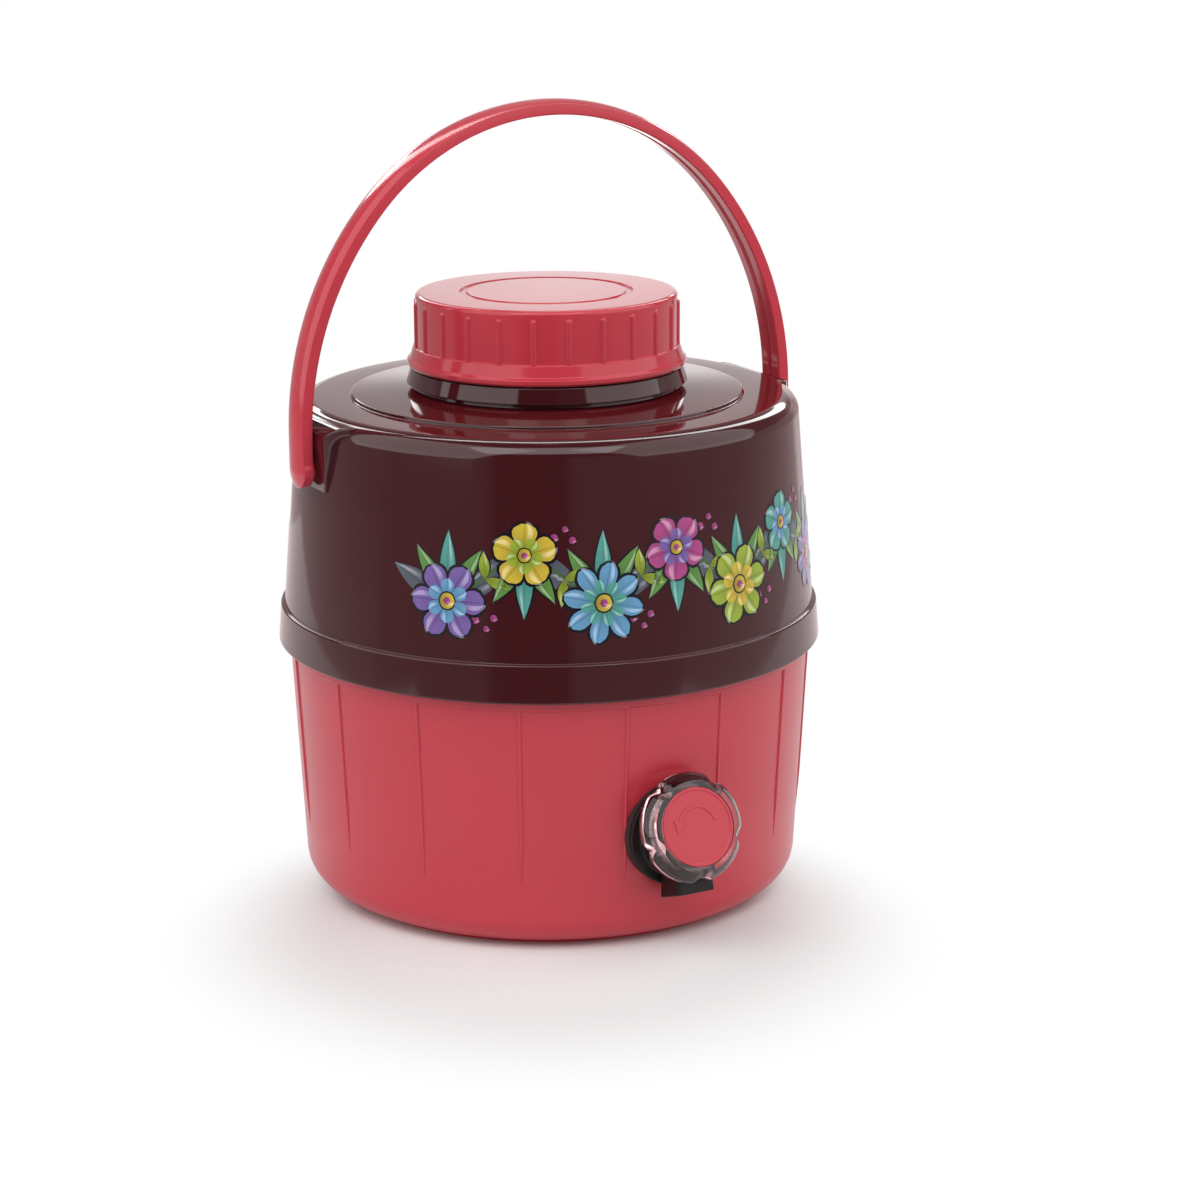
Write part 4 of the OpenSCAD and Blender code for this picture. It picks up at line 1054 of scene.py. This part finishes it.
class JUG_OT_stage(Operator):
    """Sets up the floor, the soft studio light and the camera"""
    bl_idname = "jug.stage"
    bl_label = "Stage"

    # Grey of the surround by degrees to the right of the camera's direction, and by height
    AROUND = (
        (-180, 1), (-172, 0.7), (-160, 0.28), (-130, 0.24), (-80, 0.2), (-74, 0.16), (-28, 0.15),
        (-22, 0.04), (7, 0.04), (12, 0.15), (54, 0.16), (60, 0.2), (110, 0.27), (146, 0.28),
        (150, 0.45), (156, 0.45), (160, 0.32), (172, 0.8), (180, 1),
    )
    UPWARDS = (
        (-0.3, 1), (-0.1, 0.44), (0.1, 0.44), (0.13, 0.6), (0.17, 0.3), (0.2, 0.23), (0.4, 0.15), (1, 0.12))
    # Turn from the camera and rise over the floor in degrees, size in metres and radiance of each panel
    PANELS = {
        "front": (0, 52, (1.4, 1.0), 2.1),
        "left_front": (-62, 34, (2.1, 2.1), 1.4),
        "right_front": (70, 34, (2.1, 2.1), 1.3),
    }

    def execute(self, context):
        stage = context.scene.jug_stage
        context.scene.view_settings.view_transform = "Standard"
        self.camera(context, stage)
        self.floor(stage)
        self.surround(context, stage)
        for name, panel in self.PANELS.items():
            self.softbox(name, stage, *panel)
        self.hoop(stage)
        return {"FINISHED"}

    def toward(self, turn, up=0):
        """The direction from the jug at a turn round it from its front and an angle above the floor."""
        return Vector((-sin(turn) * cos(up), -cos(turn) * cos(up), sin(up)))

    def camera(self, context, stage):
        """The camera where the photograph was taken from."""
        data = bpy.data.cameras.new("photo_camera")
        data.sensor_width, data.lens, data.shift_x = 36, 91.43, 0.0428
        camera = bpy.data.objects.new("photo_camera", data)
        context.scene.collection.objects.link(camera)
        spot = self.toward(stage.turn) * stage.distance + Vector((0, 0, stage.height))
        camera.matrix_world = (
            Matrix.Translation(spot) @ Matrix.Rotation(-stage.turn, 4, "Z")
            @ Matrix.Rotation(pi / 2 - stage.pitch, 4, "X") @ Matrix.Rotation(stage.roll, 4, "Z"))
        context.scene.camera = camera

    def floor(self, stage):
        """A small pale table: it takes the jug's shadow, and further out it is plain white to the eye."""
        floor = primitive("floor", bpy.ops.mesh.primitive_plane_add, size=1)
        near, far, side = -0.52, 0.7, 0.7
        place = Matrix.Rotation(-stage.turn, 4, "Z") @ Matrix.Translation((0, (near + far) / 2, 0))
        settle(floor, place @ Matrix.Diagonal((2 * side, far - near, 1, 1)))
        material, tree, place = new_material("matt white paper")
        fibre_mm = 2.5
        fibre = add_node(tree, "ShaderNodeTexNoise", {"Vector": place, "Scale": 1 / (fibre_mm * MM)})
        grain = add_node(tree, "ShaderNodeMapRange", {"Value": fibre, "To Min": 0.78, "To Max": 0.82})
        paper = add_node(tree, "ShaderNodeBsdfDiffuse", {"Color": grain})
        middle = self.toward(stage.turn) * stage.shadow_r / 2
        reach = add_node(tree, "ShaderNodeVectorMath", {0: place, 1: middle}, operation="DISTANCE")
        outer = add_node(
            tree, "ShaderNodeMapRange",
            {"Value": reach, "From Min": stage.shadow_r / 2, "From Max": stage.shadow_r},
            interpolation_type="SMOOTHSTEP")
        seen = self.seen_by(tree, "Camera", "Transmission", "Glossy")
        white = add_node(tree, "ShaderNodeMath", {0: seen, 1: outer}, operation="MULTIPLY")
        glow = add_node(tree, "ShaderNodeEmission")
        both = add_node(tree, "ShaderNodeMixShader", {"Fac": white, 1: paper, 2: glow})
        add_node(tree, "ShaderNodeOutputMaterial", {"Surface": both})
        floor.data.materials.append(material)
        floor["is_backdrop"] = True

    def seen_by(self, tree, *rays):
        """One where a ray is of one of these kinds, else nought."""
        path = add_node(tree, "ShaderNodeLightPath").outputs
        seen = path["Is %s Ray" % rays[0]]
        for ray in rays[1:]:
            kind = path["Is %s Ray" % ray]
            seen = add_node(tree, "ShaderNodeMath", {0: seen, 1: kind}, operation="MAXIMUM")
        return seen

    def surround(self, context, stage):
        """White to the camera; as light, white behind and dim panels and a dark gap on the camera's side."""
        world = bpy.data.worlds.new("studio")
        context.scene.world = world
        world.use_nodes = True
        tree = world.node_tree
        tree.nodes.clear()
        way = add_node(tree, "ShaderNodeTexCoord").outputs["Generated"]
        right, nearer = (
            add_node(tree, "ShaderNodeVectorMath", {0: way, 1: self.toward(turn)}, operation="DOT_PRODUCT")
            for turn in (stage.turn - pi / 2, stage.turn))
        aside = add_node(tree, "ShaderNodeMath", {0: right, 1: nearer}, operation="ARCTAN2")
        fade = self.ramp(tree, aside, pi, [(radians(turn), grey) for turn, grey in self.AROUND])
        height = add_node(tree, "ShaderNodeSeparateXYZ", {"Vector": way}).outputs["Z"]
        rise = self.ramp(tree, height, 1, self.UPWARDS)
        glow = add_node(tree, "ShaderNodeMath", {0: fade, 1: rise}, operation="MULTIPLY")
        glow = add_node(tree, "ShaderNodeMath", {0: glow, 1: stage.surround}, operation="MULTIPLY")
        seen = self.seen_by(tree, "Camera", "Transmission")
        shade = add_node(tree, "ShaderNodeMix", {"Factor": seen, "A": glow, "B": 1.0}, data_type="FLOAT")
        light = add_node(tree, "ShaderNodeBackground", {"Color": (1, 1, 1, 1), "Strength": shade})
        add_node(tree, "ShaderNodeOutputWorld", {"Surface": light})

    def ramp(self, tree, value, reach, stops):
        """A grey that changes with a value, from stops given as (value from -reach to reach, grey)."""
        place = add_node(tree, "ShaderNodeMapRange", {"Value": value, "From Min": -reach, "From Max": reach})
        ramp = add_node(tree, "ShaderNodeValToRGB", {"Fac": place})
        marks = ramp.color_ramp.elements
        for mark, (spot, _) in zip(marks, (stops[0], stops[-1])):
            mark.position = (spot / reach + 1) / 2
        for spot, _ in stops[1:-1]:
            marks.new((spot / reach + 1) / 2)
        for mark, (_, grey) in zip(marks, stops):
            mark.color = (grey, grey, grey, 1)
        return ramp

    def hoop(self, stage):
        """An arched tube light over the back, seen only in gloss, that draws a line along the deck's rim."""
        reach, middle_z, cut_z = 1.2, 0.2, 0.62
        way = self.toward(stage.turn + pi, radians(40))
        hoop = primitive(
            "hoop_light", bpy.ops.mesh.primitive_torus_add, major_segments=96, minor_segments=16,
            major_radius=0.7, minor_radius=0.12)
        aim = way.to_track_quat("Z", "Y").to_matrix().to_4x4()
        settle(hoop, Matrix.Translation(Vector((0, 0, middle_z)) + way * reach) @ aim)
        edit(hoop)
        bpy.ops.mesh.bisect(plane_co=(0, 0, cut_z), plane_no=(0, 0, 1), clear_inner=True, use_fill=True)
        deselect()
        material, tree, _ = new_material("white tube light")
        glow = add_node(tree, "ShaderNodeEmission", {"Strength": 7.0})
        add_node(tree, "ShaderNodeOutputMaterial", {"Surface": glow})
        hoop.data.materials.append(material)
        hoop.visible_camera = hoop.visible_diffuse = hoop.visible_shadow = False
        hoop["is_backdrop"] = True

    def softbox(self, name, stage, turn, up, size, radiance):
        """A soft panel aimed at the jug, turn degrees from the camera and up degrees above the floor."""
        reach, middle_z = 1.5, 0.15
        data = bpy.data.lights.new(name, "AREA")
        data.shape, data.size, data.size_y = "RECTANGLE", size[0], size[1]
        data.energy = radiance * pi * size[0] * size[1]
        lamp = bpy.data.objects.new(name, data)
        bpy.context.scene.collection.objects.link(lamp)
        way = self.toward(stage.turn - radians(turn), radians(up))
        lamp.location = Vector((0, 0, middle_z)) + way * reach
        lamp.rotation_euler = way.to_track_quat("Z", "Y").to_euler()


class JUG_PT_panel(Panel):
    """Lists the jug's pieces"""
    bl_idname = "JUG_PT_panel"
    bl_label = "Water Jug"
    bl_space_type = "VIEW_3D"
    bl_region_type = "UI"
    bl_category = "Water Jug"

    def draw(self, context):
        for operator in OPERATORS:
            self.layout.operator(operator.bl_idname)


SETTINGS = {
    "jug_case": CaseSizes,
    "jug_lid": LidSizes,
    "jug_handle": HandleSizes,
    "jug_tap": TapSizes,
    "jug_colours": JugColours,
    "jug_print": JugPrint,
    "jug_stage": JugStage,
}
OPERATORS = (
    JUG_OT_inner_pieces, JUG_OT_lower_case, JUG_OT_upper_case, JUG_OT_flower_print, JUG_OT_lid,
    JUG_OT_handle, JUG_OT_tap, JUG_OT_knob, JUG_OT_stage,
)
CLASSES = (*SETTINGS.values(), *OPERATORS, JUG_PT_panel)


def register():
    for cls in CLASSES:
        bpy.utils.register_class(cls)
    for name, group in SETTINGS.items():
        setattr(bpy.types.Scene, name, PointerProperty(type=group))


def unregister():
    for name in SETTINGS:
        delattr(bpy.types.Scene, name)
    for cls in reversed(CLASSES):
        bpy.utils.unregister_class(cls)


def main():
    register()
    bpy.ops.jug.inner_pieces()
    bpy.ops.jug.lower_case()
    bpy.ops.jug.upper_case()
    bpy.ops.jug.flower_print()
    bpy.ops.jug.lid()
    bpy.ops.jug.handle()
    bpy.ops.jug.tap()
    bpy.ops.jug.knob()
    bpy.ops.jug.stage()
    boxes = {"cad": CAD_BOX, "visual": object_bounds()}
    {name: [list(corner) for corner in box] for name, box in boxes.items()}


if __name__ == "__main__":
    main()
